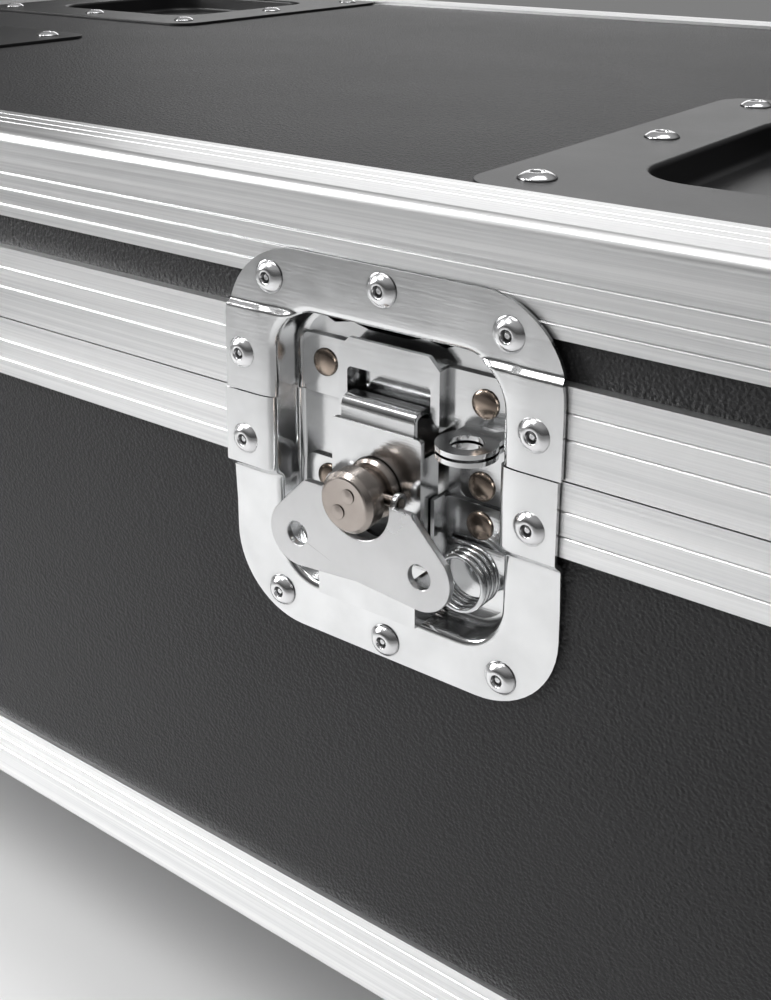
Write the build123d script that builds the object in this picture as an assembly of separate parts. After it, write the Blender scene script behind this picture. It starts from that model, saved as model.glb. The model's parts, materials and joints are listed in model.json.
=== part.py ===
from build123d import *
import math
import os

# Lighting flight case, millimetres, +Z up, front towards -Y, standing on its castors at Z = 0
# The latch measures come first because every height of the case was read against the latch plate

# Case, over the edge extrusions
CASE_W = 760.0
CASE_D = 480.0
CASTOR_H = 106.0
BODY_H = 187.15
LID_H = 61.15
PARTING_GAP = 0.4
PLY = 9.0
BOTTOM_Z = CASTOR_H
PART_Z = BOTTOM_Z + BODY_H
TOP_Z = PART_Z + LID_H

# Edge extrusion, a double angle that grips two panels
EDGE_LEG = 27.0
EDGE_WALL = 1.7
EDGE_BLOCK = 12.0
EDGE_GRIP = 22.0
EDGE_ROUND = 3.0
EDGE_LINES = (13.0, 18.0, 23.3)
LINE_HALF = 0.35
LINE_DEEP = 0.4
PLY_IN = EDGE_WALL + PLY

# Closure extrusion, which runs round the parting
CLOSURE_PROUD = 1.5
BODY_CLOSURE_H = 20.0
LID_CLOSURE_H = 24.0
BODY_LINES = (7.9, 14.6)
LID_LINES = (10.6, 17.3)
BODY_WEB = 3.2
LID_WEB = 4.7
CLOSURE_GRIP = 15.0
TONGUE_H = 2.5
TONGUE_FOOT = (4.0, 7.2)
TONGUE_TIP = (4.4, 6.8)
GROOVE = (3.2, 8.0)
GROOVE_DEEP = 3.1

# Latch plate, measured from its own centre: d is how far a face stands proud of the plate
SHEET = 1.2
LATCH_X = 170.0
LATCH_Z = PART_Z - 12.75
PLATE_W = 107.0
PLATE_H = 112.0
PLATE_R = 24.0
LATCH_SPLIT = 12.75
LID_HALF_SHIFT = 0.8
UPPER_STEP_D = -1.5
LOWER_STEP_D = -3.0
UPPER_STEP = (36.9, 39.0)
LOWER_STEP = (-12.5, -9.0)
RECESS_W = 73.0
RECESS_TOP = 39.0
RECESS_BOTTOM = -41.0
RECESS_R = 13.0
RECESS_D = 12.0
FACE_Y = -CASE_D / 2 - CLOSURE_PROUD - SHEET
WINDOW_GAP = 0.5

# Latch mechanism
MECH_X = -2.1
SPINDLE_Z = -4.6
KNOB_R = 8.5
KNOB_D = 12.0
COLLAR_R = 8.2
WAIST_R = 5.8
PIN_R = 1.5
PIN_D = 3.0
RUNNING = 0.05
HOOK_TRAVEL = 6.0
HOOK_HALF = 14.6
HOOK_NOSE_HALF = 11.9
HOOK_T = 1.5
HOOK_D = -1.5
KEEPER_D = -7.0
KEEPER_T = 1.4
KEEPER_HALF = 16.4
SLOT_HALF = 13.6
SLOT_Z = (15.9, 24.8)
KEEPER_Z = (12.95, 33.0)
WING_D = (5.0, 7.0)
WING_TIP_X = 20.3
WING_TIP_Z = -16.4
WING_TIP_R = 9.5
WING_HOLE_R = 3.5
WING_CUT_R = 10.6
WING_CUT_DROP = 1.3
EAR_R = 2.7
EAR_T = 1.6
HASP_X = 25.0
HASP_D = -3.7
HASP_R = 8.2
HASP_HOLE_R = 4.5
HASP_T = 1.3
SPRING_X = 24.5
SPRING_Z = -24.5
SPRING_R = 7.3
SPRING_WIRE = 1.6
SPRING_PITCH = 2.1
SPRING_TURNS = 3.75
SPRING_FRONT_D = -1.2
SPRING_LEGS = (7.0, 8.5)
SPRING_SIDES = 8

# Rivets: places on the latch are (X, Z, d) for the flange and (X, Z, foot thickness) for the studs
LATCH_RIVETS_LID = ((-37.8, 47.0, -1.5), (0.0, 50.0, -1.5), (38.0, 46.0, -1.5),
                    (-47.0, 24.0, 0.0), (46.5, 23.0, 0.0))
LATCH_RIVETS_BODY = ((-46.5, -1.5, 0.0), (46.0, -1.5, 0.0), (-37.0, -47.5, -3.0),
                     (0.0, -50.5, -3.0), (37.0, -48.0, -3.0))
LID_STUDS = ((-26.0, 22.5, 1.4), (26.0, 22.5, 1.4))
BODY_STUDS = ((-25.0, -11.5, 1.3), (25.0, -11.5, 1.3), (25.3, -0.3, 1.3))
RIVET_R = 4.65
RIVET_H = 2.1
RIVET_HOLE_R = 1.5
STUD_R = 4.0
STUD_H = 1.4
SMALL_RIVET_R = 4.0
SMALL_RIVET_H = 1.7
SMALL_RIVET_SIDES = 16
CUP_RIVET_R = 5.5
CUP_RIVET_H = 1.9

# Castors, castor cups, handles, hinges and foam
CUP_SIDE = 180.0
CUP_FLANGE = 33.0
CUP_DEEP = 12.0
CUP_SHEET = 1.5
CASTOR_X = CASE_W / 2 - EDGE_LEG - CUP_SIDE / 2
CASTOR_Y = CASE_D / 2 - EDGE_LEG - CUP_SIDE / 2
WHEEL_R = 40.0
WHEEL_HALF = 15.0
TRAIL = 27.0
AXLE_R = 5.0
FORK_T = 3.0
FORK_HALF = 21.0
PLATE_T = 2.5
RACE_R = 29.0
RACE_H = 9.0
SWIVEL_GAP = 1.0
HANDLE_W = 170.0
HANDLE_H = 112.0
HANDLE_WELL_W = 126.0
HANDLE_WELL_H = 76.0
HANDLE_R = 20.0
HANDLE_Z = BOTTOM_Z + EDGE_LEG + 70.0
HANDLE_DEEP = 12.0
BAIL_ROD_R = 3.5
BAIL_GRIP_R = 5.2
BAIL_HALF = 48.0
BAIL_DROP = 44.0
BAIL_PIVOT_DOWN = 14.0
HINGE_X = 200.0
HINGE_W = 72.0
HINGE_PIN_R = 2.0
KNUCKLE_R = 4.5
HINGE_Y = CASE_D / 2 + CLOSURE_PROUD + 6.4
LEAF_T = 1.6
FOAM_WALL = 15.0
FOAM_FLOOR = 20.0
FOAM_LID = 18.0
FOAM_STANDOFF = 0.5

SIDES = (-1, 1)
CORNERS = [(sx, sy) for sx in SIDES for sy in SIDES]
LATCHES = {"left": -LATCH_X, "right": LATCH_X}


def block(x, y, z):
    """A box between two values on each axis."""
    size = Box(x[1] - x[0], y[1] - y[0], z[1] - z[0])
    return Pos((x[0] + x[1]) / 2, (y[0] + y[1]) / 2, (z[0] + z[1]) / 2) * size


def front_plane(d):
    """The plane that faces the front, d proud of the latch plate, with sketch axes X and Z."""
    return Plane(origin=(0, -d, 0), x_dir=(1, 0, 0), z_dir=(0, -1, 0))


def slab(sketch, d_back, d_front):
    """A sketch in X and Z thickened from d_back to d_front."""
    return extrude(front_plane(d_back) * sketch, amount=d_front - d_back)


def side_prism(points, x_low, x_high):
    """An outline of (d, Z) points drawn across the latch from x_low to x_high."""
    outline = Polyline([(-d, z) for d, z in points], close=True)
    plane = Plane(origin=(x_low, 0, 0), x_dir=(0, 1, 0), z_dir=(1, 0, 0))
    return extrude(plane * make_face(outline), amount=x_high - x_low)


def at_latch(solid, latch_x):
    return Pos(latch_x, FACE_Y, LATCH_Z) * solid


def write(name, solids):
    """One STEP file for each node, with separate solids kept apart."""
    flat = []
    for solid in solids:
        flat.extend(solid.solids())
    shape = flat[0] if len(flat) == 1 else Compound(children=flat)
    shape.label = name
    export_step(shape, os.path.join("parts", name + ".step"))


# Extrusions

def grooved_line(start, stop, lines):
    """Points along a visible face from start to stop, with a shallow V at each line."""
    step = 1 if stop > start else -1
    points = [(start, 0.0)]
    for place in sorted(lines, reverse=step < 0):
        points += [(place - step * LINE_HALF, 0.0), (place, LINE_DEEP), (place + step * LINE_HALF, 0.0)]
    return points + [(stop, 0.0)]


def edge_section():
    """Double angle: a is the distance from the corner along one leg, b along the other."""
    leg_a = grooved_line(EDGE_ROUND, EDGE_LEG, EDGE_LINES)
    leg_b = [(b, a) for a, b in reversed(leg_a)]
    inner = [(EDGE_LEG, EDGE_WALL), (EDGE_BLOCK, EDGE_WALL), (EDGE_BLOCK, PLY_IN), (EDGE_GRIP, PLY_IN),
             (EDGE_GRIP, EDGE_BLOCK), (EDGE_BLOCK, EDGE_BLOCK), (EDGE_BLOCK, EDGE_GRIP),
             (PLY_IN, EDGE_GRIP), (PLY_IN, EDGE_BLOCK), (EDGE_WALL, EDGE_BLOCK), (EDGE_WALL, EDGE_LEG)]
    straight = Polyline(leg_a + inner + leg_b)
    nose = RadiusArc((0, EDGE_ROUND), (EDGE_ROUND, 0), -EDGE_ROUND)
    return make_face([straight, nose])


def closure_section(height, lines, web, up, tongue):
    """Closure extrusion: b is the depth behind the edge face, t the distance from the parting."""
    gap = PARTING_GAP / 2
    face = [(b - CLOSURE_PROUD, t) for t, b in grooved_line(gap, height, lines)]
    inner = [(EDGE_WALL, height), (EDGE_WALL, web), (PLY_IN, web), (PLY_IN, CLOSURE_GRIP),
             (EDGE_BLOCK, CLOSURE_GRIP), (EDGE_BLOCK, gap)]
    if tongue:
        inner += [(TONGUE_FOOT[1], gap), (TONGUE_TIP[1], gap - TONGUE_H),
                  (TONGUE_TIP[0], gap - TONGUE_H), (TONGUE_FOOT[0], gap)]
    else:
        inner += [(GROOVE[1], gap), (GROOVE[1], GROOVE_DEEP), (GROOVE[0], GROOVE_DEEP), (GROOVE[0], gap)]
    return make_face(Polyline([(b, up * t) for b, t in face + inner], close=True))


def mitred_ring(section, z, proud=0.0):
    """Four lengths of one section round the case, mitred where they meet."""
    lengths = []
    for turn in range(4):
        span = CASE_W if turn % 2 == 0 else CASE_D
        reach = CASE_D if turn % 2 == 0 else CASE_W
        half = span / 2 + proud
        plane = Plane(origin=(-half, -reach / 2, z), x_dir=(0, 1, 0), z_dir=(1, 0, 0))
        bar = extrude(plane * section, amount=2 * half)
        for side in SIDES:
            mitre = Plane(origin=(side * span / 2, -reach / 2, z), z_dir=(-side, -1, 0))
            bar = split(bar, bisect_by=mitre, keep=Keep.TOP)
        lengths.append(Rot(0, 0, 90 * turn) * bar)
    return lengths


def flipped(section):
    return mirror(section, about=Plane.XZ)


def post(sx, sy, section, z_low, z_high):
    """An upright corner length with its outer corner on the case's corner."""
    bar = extrude(Plane.XY * section, amount=z_high - z_low)
    turn = {(-1, -1): 0, (1, -1): 90, (1, 1): 180, (-1, 1): 270}[(sx, sy)]
    return Pos(sx * CASE_W / 2, sy * CASE_D / 2, z_low) * Rot(0, 0, turn) * bar


def latch_windows():
    """What is cut out of panels and closure lengths for the two latch recesses."""
    half = RECESS_W / 2 + SHEET + WINDOW_GAP
    low = LATCH_Z + RECESS_BOTTOM - SHEET - WINDOW_GAP
    high = LATCH_Z + RECESS_TOP + SHEET + WINDOW_GAP
    deep = (FACE_Y - 5, -CASE_D / 2 + EDGE_BLOCK + 5)
    return [block((x - half + 0.3, x + half + 0.3), deep, (low, high)) for x in LATCHES.values()]


def bottom_edges():
    return mitred_ring(edge_section(), BOTTOM_Z)


def corner_edges():
    low = BOTTOM_Z + EDGE_LEG
    high = PART_Z - BODY_CLOSURE_H
    return [post(sx, sy, edge_section(), low, high) for sx, sy in CORNERS]


def lid_edges():
    ring = mitred_ring(flipped(edge_section()), TOP_Z)
    low = PART_Z + LID_CLOSURE_H
    high = TOP_Z - EDGE_LEG
    return ring + [post(sx, sy, edge_section(), low, high) for sx, sy in CORNERS]


def body_closure():
    section = closure_section(BODY_CLOSURE_H, BODY_LINES, BODY_WEB, -1, True)
    ring = mitred_ring(section, PART_Z, CLOSURE_PROUD + 1)
    return [bar - latch_windows() if turn == 0 else bar for turn, bar in enumerate(ring)]


def lid_closure():
    section = closure_section(LID_CLOSURE_H, LID_LINES, LID_WEB, 1, False)
    ring = mitred_ring(section, PART_Z, CLOSURE_PROUD + 1)
    return [bar - latch_windows() if turn == 0 else bar for turn, bar in enumerate(ring)]


# Panels, plywood under a dark laminate

def wall(side, axis, z_low, z_high):
    """One upright panel: axis 0 is a left or right wall, axis 1 a front or back one."""
    if axis == 0:
        x = sorted((side * (CASE_W / 2 - EDGE_WALL), side * (CASE_W / 2 - PLY_IN)))
        return block(x, (-CASE_D / 2 + EDGE_BLOCK, CASE_D / 2 - EDGE_BLOCK), (z_low, z_high))
    y = sorted((side * (CASE_D / 2 - EDGE_WALL), side * (CASE_D / 2 - PLY_IN)))
    return block((-CASE_W / 2 + EDGE_BLOCK, CASE_W / 2 - EDGE_BLOCK), y, (z_low, z_high))


def body_wall(side, axis):
    return wall(side, axis, BOTTOM_Z + EDGE_BLOCK, PART_Z - BODY_WEB)


def lid_wall(side, axis):
    return wall(side, axis, PART_Z + LID_WEB, TOP_Z - EDGE_BLOCK)


def flat_panel(z_low):
    half_x = CASE_W / 2 - EDGE_BLOCK
    half_y = CASE_D / 2 - EDGE_BLOCK
    return block((-half_x, half_x), (-half_y, half_y), (z_low, z_low + PLY))


def cup_window(sx, sy):
    """A square sawn hole, hidden under the cup's flange."""
    half = CUP_SIDE / 2 - CUP_FLANGE + CUP_SHEET + WINDOW_GAP
    hole = extrude(Rectangle(2 * half, 2 * half), amount=2 * PLY)
    return Pos(sx * CASTOR_X, sy * CASTOR_Y, TOP_Z - 1.5 * PLY) * hole


def handle_window(side):
    sketch = RectangleRounded(HANDLE_WELL_W + 2 * SHEET + 2 * WINDOW_GAP,
                              HANDLE_WELL_H + 2 * SHEET + 2 * WINDOW_GAP, HANDLE_R - 2)
    plane = Plane(origin=(side * (CASE_W / 2 - 2 * PLY), 0, HANDLE_Z), x_dir=(0, 1, 0), z_dir=(side, 0, 0))
    return extrude(plane * sketch, amount=3 * PLY)


# Corners, rivets

def ball_corner(sx, sy, sz, reach=34.0, cover=2.0, bump=15.0):
    """Pressed steel corner: three rounded legs round a ball."""
    shell = block((-reach, cover), (-reach, cover), (-reach, cover))
    near = [edge for edge in shell.edges() if sum(1 for v in edge.center() if abs(v - cover) < 0.01) == 2]
    shell = fillet(near, 4.0)
    far = [edge for edge in shell.edges().filter_by(GeomType.LINE)
           if sum(1 for v in edge.center() if abs(v + reach) < 0.01) == 2]
    shell = fillet(far, 12.0)
    ball = Pos(-bump + 5, -bump + 5, -bump + 5) * Sphere(bump)
    solid = shell + ball - block((-90, 0), (-90, 0), (-90, 0))
    turned = solid
    if sx < 0:
        turned = mirror(turned, about=Plane.YZ)
    if sy < 0:
        turned = mirror(turned, about=Plane.XZ)
    if sz < 0:
        turned = mirror(turned, about=Plane.XY)
    z = TOP_Z if sz > 0 else BOTTOM_Z
    return Pos(sx * CASE_W / 2, sy * CASE_D / 2, z) * turned


def rivet(radius, height, hole_r=0.0):
    """Domed rivet head that stands on Z = 0, with the mandrel hole where hole_r is given."""
    rim = 0.3
    foot = [(radius, rim), (radius, 0), (0, 0)]
    if hole_r == 0.0:
        dome = ThreePointArc((0, height), (radius * 0.62, height * 0.78), (radius, rim))
        return revolve(Plane.XZ * make_face([dome, Polyline(foot + [(0, height)])]))
    floor_h = height * 0.4
    dome = ThreePointArc((hole_r, height), (radius * 0.7, height * 0.75), (radius, rim))
    hole = [(0, floor_h), (hole_r, floor_h), (hole_r, height)]
    return revolve(Plane.XZ * make_face([dome, Polyline(foot + hole)]))


def small_rivet(radius, height):
    """Small head that stands on Z = 0: a rim and a bevelled crown, cut with flat sides."""
    rim = height * 0.35
    crown = height - rim
    slope = math.degrees(math.atan2(radius * 0.42, crown))
    outline = RegularPolygon(radius, SMALL_RIVET_SIDES)
    return extrude(outline, amount=rim) + extrude(Pos(0, 0, rim) * outline, amount=crown, taper=slope)


def facing(solid, x, y, z, normal):
    """Turn a piece that stands on Z = 0 so that it stands on a face with the given normal."""
    plane = Plane(origin=(x, y, z), z_dir=normal)
    return plane.location * solid


# Latch: the two pressed dish halves

def sheet_profile(d_shift, z_reach):
    """Front line of the stepped flange, seen from the side, moved back by d_shift."""
    return [(UPPER_STEP_D - d_shift, z_reach), (UPPER_STEP_D - d_shift, UPPER_STEP[1]),
            (-d_shift, UPPER_STEP[0]), (-d_shift, LOWER_STEP[1]),
            (LOWER_STEP_D - d_shift, LOWER_STEP[0]), (LOWER_STEP_D - d_shift, -z_reach)]


def dish():
    """The whole recessed dish before it is parted: flange, walls and floor."""
    reach = PLATE_H / 2 + 2
    outline = RectangleRounded(PLATE_W, PLATE_H, PLATE_R)
    height = RECESS_TOP - RECESS_BOTTOM
    place = Pos(0, (RECESS_TOP + RECESS_BOTTOM) / 2)
    well = place * RectangleRounded(RECESS_W, height, RECESS_R)
    outer = place * RectangleRounded(RECESS_W + 2 * SHEET, height + 2 * SHEET, RECESS_R + SHEET)
    flange = side_prism(sheet_profile(0, reach) + sheet_profile(SHEET, reach)[::-1], -PLATE_W, PLATE_W)
    flange = flange & slab(outline, -RECESS_D, 5)
    behind = side_prism(sheet_profile(0, reach) + [(-RECESS_D - 9, -reach), (-RECESS_D - 9, reach)],
                        -PLATE_W, PLATE_W)
    tub = slab(outer, -RECESS_D - SHEET, 5) & behind
    return flange + tub - slab(well, -RECESS_D, 6)


def dish_halves():
    whole = dish()
    reach = 200.0
    gap = PARTING_GAP / 2
    upper = whole & block((-reach, reach), (-reach, reach), (LATCH_SPLIT + gap, reach))
    lower = whole & block((-reach, reach), (-reach, reach), (-reach, LATCH_SPLIT - gap))
    return Pos(LID_HALF_SHIFT, 0, 0) * upper, lower


# Latch: the mechanism

def keeper():
    """Keeper bracket with its slot and crossbar, two feet, and the upper padlock tab."""
    low, high = KEEPER_Z
    bevel = 3.5
    half = KEEPER_HALF
    outline = Polyline([(-half, low), (half, low), (half, high - bevel), (half - bevel, high),
                        (-half + bevel, high), (-half, high - bevel)], close=True)
    face = make_face(Pos(MECH_X, 0) * outline)
    slot_low, slot_high = SLOT_Z
    slot_outline = RectangleRounded(2 * SLOT_HALF, slot_high - slot_low, 1.5)
    slot = Pos(MECH_X, (slot_low + slot_high) / 2) * slot_outline
    front = slab(face - slot, KEEPER_D - KEEPER_T, KEEPER_D)
    floor_d = -RECESS_D
    sides = []
    for side in SIDES:
        x_in = MECH_X + side * (half - KEEPER_T)
        x_out = MECH_X + side * half
        x_foot = side * 33.0
        sides.append(block(sorted((x_in, x_out)), (-KEEPER_D, -floor_d), (low, high - bevel)))
        foot = slab(Pos((x_out + x_foot) / 2, (low + 30) / 2) *
                    RectangleRounded(abs(x_foot - x_out) + 2, 30 - low, 2.0), floor_d, floor_d + KEEPER_T)
        sides.append(foot)
    solid = front
    for piece in sides:
        solid = solid + piece
    return solid + hasp_tab(low)


def hasp_tab(z_low):
    """Padlock tab: a round eye that lies flat, on a tongue from the dish floor."""
    middle = Pos(HASP_X, -HASP_D, z_low + HASP_T / 2)
    eye = middle * Cylinder(HASP_R, HASP_T)
    tongue = block((HASP_X - 6.5, HASP_X + 6.5), (-HASP_D, RECESS_D), (z_low, z_low + HASP_T))
    hole = middle * Cylinder(HASP_HOLE_R, HASP_T + 2)
    return eye + tongue - hole


def lower_hasp():
    """The body's padlock tab, on a riveted leg."""
    top = LATCH_SPLIT - PARTING_GAP / 2 - 0.4
    outline = Pos(HASP_X + 0.5, (top - 4.6) / 2) * RectangleRounded(14.0, top + 4.6, 2.0)
    leg = slab(outline, -RECESS_D, -RECESS_D + HASP_T)
    return leg + hasp_tab(top - HASP_T)


def hook():
    """Hook plate: a folded channel round the spindle, stepping up to the nose over the crossbar."""
    low, shoulder = -23.5, 12.0
    half = HOOK_HALF
    plate = slab(Pos(MECH_X, (low + shoulder) / 2) * RectangleRounded(2 * half, shoulder - low, 1.2),
                 HOOK_D - HOOK_T, HOOK_D)
    flange_top = KEEPER_Z[0] - HOOK_TRAVEL - 0.45
    for side in SIDES:
        x_in = MECH_X + side * (half - HOOK_T)
        x_out = MECH_X + side * half
        plate = plate + block(sorted((x_in, x_out)), (-HOOK_D, 9.5), (low + 4, flange_top))
    slot_half = COLLAR_R + 0.3
    window = Pos(MECH_X, SPINDLE_Z - HOOK_TRAVEL / 2) * SlotCenterToCenter(HOOK_TRAVEL, 2 * slot_half, 90)
    plate = plate - slab(window, -11, 1)
    return plate + hook_nose(shoulder)


def hook_nose(shoulder):
    """The rolled nose, which goes over the crossbar and down behind it."""
    top = 18.4
    back = KEEPER_D - KEEPER_T - 0.5 - HOOK_T
    front = HOOK_D - 0.7
    tip = 13.4
    roll = 3.0
    outer = [Line((front + 0.7, shoulder - 2.0), (front, shoulder + 1.0)),
             Line((front, shoulder + 1.0), (front, top - roll)),
             RadiusArc((front, top - roll), (front - roll, top), -roll),
             Line((front - roll, top), (back + roll, top)),
             RadiusArc((back + roll, top), (back, top - roll), -roll),
             Line((back, top - roll), (back, tip)),
             Line((back, tip), (back + HOOK_T, tip)),
             Line((back + HOOK_T, tip), (back + HOOK_T, top - roll)),
             RadiusArc((back + HOOK_T, top - roll), (back + roll, top - HOOK_T), roll - HOOK_T),
             Line((back + roll, top - HOOK_T), (front - roll, top - HOOK_T)),
             RadiusArc((front - roll, top - HOOK_T), (front - HOOK_T, top - roll), roll - HOOK_T),
             Line((front - HOOK_T, top - roll), (front - HOOK_T, shoulder - 2.0)),
             Line((front - HOOK_T, shoulder - 2.0), (front + 0.7, shoulder - 2.0))]
    half = HOOK_NOSE_HALF
    plane = Plane(origin=(MECH_X - half, 0, 0), x_dir=(0, -1, 0), z_dir=(-1, 0, 0))
    return extrude(plane * make_face(outer), amount=-2 * half)


def spindle():
    """Turned knob on its waist and collar, with the wing's cross pin and two staked ends."""
    foot = -RECESS_D + 1.2
    knob_back = WING_D[0] + 0.2
    profile = Polyline([(0, foot), (COLLAR_R, foot), (COLLAR_R, 0.0), (COLLAR_R - 0.8, 0.8), (WAIST_R, 0.8),
                        (WAIST_R, knob_back), (KNOB_R - 0.6, knob_back), (KNOB_R, knob_back + 0.6),
                        (KNOB_R, KNOB_D - 1.5), (KNOB_R - 1.1, KNOB_D - 0.2), (KNOB_R - 1.6, KNOB_D),
                        (0, KNOB_D)], close=True)
    body = revolve(Plane.XZ * make_face(profile))
    turned = Pos(MECH_X, 0, SPINDLE_Z) * Rot(90, 0, 0) * body
    pin = Pos(MECH_X, -PIN_D, SPINDLE_Z) * Rot(0, 90, 0) * Cylinder(PIN_R, 2 * (WING_CUT_R + 1.4))
    studs = []
    for x, z in ((1.4, 2.6), (-1.8, -2.5)):
        head = rivet(1.9, 0.5)
        studs.append(Pos(MECH_X + x, -KNOB_D, SPINDLE_Z + z) * Rot(90, 0, 0) * head)
    return turned + pin + studs[0] + studs[1]


def wing_outline():
    """Butterfly outline about the spindle axis: two round tips, slanted shoulders, a waisted foot."""
    top = 0.1
    shoulder = 17.5
    tip_low = WING_TIP_Z - WING_TIP_R
    middle_low = tip_low + 1.6
    lean = math.radians(38)
    out_x = WING_TIP_X + WING_TIP_R * math.cos(lean)
    out_z = WING_TIP_Z + WING_TIP_R * math.sin(lean)
    right = [Line((WING_CUT_R, top), (shoulder, top)),
             Line((shoulder, top), (out_x, out_z)),
             ThreePointArc((out_x, out_z), (WING_TIP_X + WING_TIP_R * 0.62, WING_TIP_Z - WING_TIP_R * 0.785),
                           (WING_TIP_X - 1.0, tip_low)),
             Line((WING_TIP_X - 1.0, tip_low), (0, middle_low))]
    left = [mirror(edge, about=Plane.YZ) for edge in right]
    bridge = Line((-WING_CUT_R, top), (WING_CUT_R, top))
    face = make_face(right + left + [bridge])
    cut = Pos(0, -WING_CUT_DROP) * Circle(WING_CUT_R)
    notch = Pos(0, 2) * Rectangle(2 * WING_CUT_R, 4 + 2 * WING_CUT_DROP)
    holes = [Pos(side * WING_TIP_X, WING_TIP_Z) * Circle(WING_HOLE_R) for side in SIDES]
    return face - cut - notch - holes[0] - holes[1]


def wing():
    """Butterfly wing with two ears on the cross pin."""
    plate = slab(Pos(MECH_X, SPINDLE_Z) * wing_outline(), WING_D[0], WING_D[1])
    for side in SIDES:
        x = MECH_X + side * (WING_CUT_R + 1.0 - EAR_T / 2)
        ear = Pos(x, -PIN_D, SPINDLE_Z) * Rot(0, 90, 0) * Cylinder(EAR_R, EAR_T)
        plate = plate + ear
    bore = Pos(MECH_X, -PIN_D, SPINDLE_Z) * Rot(0, 90, 0) * Cylinder(PIN_R + RUNNING, 60)
    return plate - bore


def latch_base():
    """Base channel over the foot of the hook, with two riveted feet on the dish floor."""
    half = 16.2
    top, low = -25.5, -39.2
    cover = slab(Pos(MECH_X, (top + low) / 2) * Rectangle(2 * half, top - low), PIN_D - 1.4, PIN_D)
    solid = cover
    for side in SIDES:
        x_in = MECH_X + side * (half - 1.2)
        x_out = MECH_X + side * half
        solid = solid + block(sorted((x_in, x_out)), (-PIN_D + 0.2, RECESS_D), (low, top))
        solid = solid + block(sorted((x_in, x_out)), (RECESS_D - 6.5, RECESS_D), (top - 1, -5.5))
        x_foot = side * 32.5
        foot = slab(Pos((x_out + x_foot) / 2, -11.5) * RectangleRounded(abs(x_foot - x_out) + 2, 11.6, 3.0),
                    -RECESS_D, -RECESS_D + 1.3)
        solid = solid + foot
    return solid


def spring_point(turn):
    """A point on the helix of the spring's wire, and the helix's direction there."""
    angle = 2 * math.pi * turn + math.pi
    point = Vector(SPRING_X + SPRING_R * math.cos(angle), -SPRING_FRONT_D + SPRING_PITCH * turn,
                   SPRING_Z + SPRING_R * math.sin(angle))
    along = Vector(-SPRING_R * math.sin(angle), SPRING_PITCH / (2 * math.pi), SPRING_R * math.cos(angle))
    return point, along.normalized()


def biarc(start, start_dir, stop, stop_dir):
    """Two arcs, tangent where they meet, between two points with set directions."""
    chord = stop - start
    total = start_dir + stop_dir
    square = total.dot(total) - 4
    reach = (chord.dot(total) - math.sqrt(chord.dot(total) ** 2 - square * chord.dot(chord))) / square
    near = start + start_dir * reach
    far = stop - stop_dir * reach
    middle = (near + far) * 0.5
    return [TangentArc(start, middle, tangent=start_dir), TangentArc(middle, stop, tangent=far - near)]


def spring():
    """Torsion spring: one wire, a straight leg behind the wing, the turns and a leg at the back."""
    steps = int(SPRING_TURNS * 4)
    first, first_dir = spring_point(0)
    path = [Line(first - first_dir * SPRING_LEGS[0], first)]
    for step in range(steps):
        start, start_dir = spring_point(step / 4)
        stop, stop_dir = spring_point((step + 1) / 4)
        path += biarc(start, start_dir, stop, stop_dir)
    last, last_dir = spring_point(SPRING_TURNS)
    path.append(Line(last, last + last_dir * SPRING_LEGS[1]))
    wire = Wire(path)
    section = Plane(origin=wire @ 0, z_dir=wire % 0) * RegularPolygon(SPRING_WIRE / 2, SPRING_SIDES)
    return sweep(section, path=wire)


def spring_gap():
    """Least gap between one turn of the spring's wire and the next, measured on points."""
    count = 72
    points = [spring_point(i / count)[0] for i in range(int(SPRING_TURNS * count))]
    least = min((points[i] - points[j]).length
                for i in range(0, len(points), 3) for j in range(i + count // 2, len(points), 3))
    return least - SPRING_WIRE


def latch_rivets(places):
    """Domed blind rivets on the latch flange."""
    heads = []
    for latch_x in LATCHES.values():
        for x, z, d in places:
            head = rivet(RIVET_R, RIVET_H, RIVET_HOLE_R)
            heads.append(facing(head, latch_x + x, FACE_Y - d, LATCH_Z + z, (0, -1, 0)))
    return heads


def latch_studs(places):
    """Solid rivets on the dish floor, each on the foot it holds."""
    heads = []
    for latch_x in LATCHES.values():
        for x, z, thick in places:
            y = FACE_Y + RECESS_D - thick
            heads.append(facing(rivet(STUD_R, STUD_H), latch_x + x, y, LATCH_Z + z, (0, -1, 0)))
    return heads


# Castor cups and castors

def castor_cup(sx, sy):
    """Pressed dish in the lid that takes a castor of the case stacked above."""
    well_side = CUP_SIDE - 2 * CUP_FLANGE
    flange = extrude(RectangleRounded(CUP_SIDE, CUP_SIDE, 12.0), amount=CUP_SHEET)
    outer = extrude(RectangleRounded(well_side + 2 * CUP_SHEET, well_side + 2 * CUP_SHEET, 18.0 + CUP_SHEET),
                    amount=CUP_DEEP + CUP_SHEET)
    well = extrude(RectangleRounded(well_side, well_side, 18.0), amount=CUP_DEEP + 2)
    cup = flange + Pos(0, 0, -CUP_DEEP) * outer - Pos(0, 0, -CUP_DEEP + CUP_SHEET) * well
    return Pos(sx * CASTOR_X, sy * CASTOR_Y, TOP_Z - EDGE_WALL) * cup


def cup_rivets():
    heads = []
    offset = CUP_SIDE / 2 - 15.5
    for sx, sy in CORNERS:
        for x in (-offset, 0, offset):
            for y in (-offset, 0, offset):
                if x == 0 and y == 0:
                    continue
                place = Pos(sx * CASTOR_X + x, sy * CASTOR_Y + y, TOP_Z - EDGE_WALL + CUP_SHEET)
                heads.append(place * small_rivet(CUP_RIVET_R, CUP_RIVET_H))
    return heads


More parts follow.
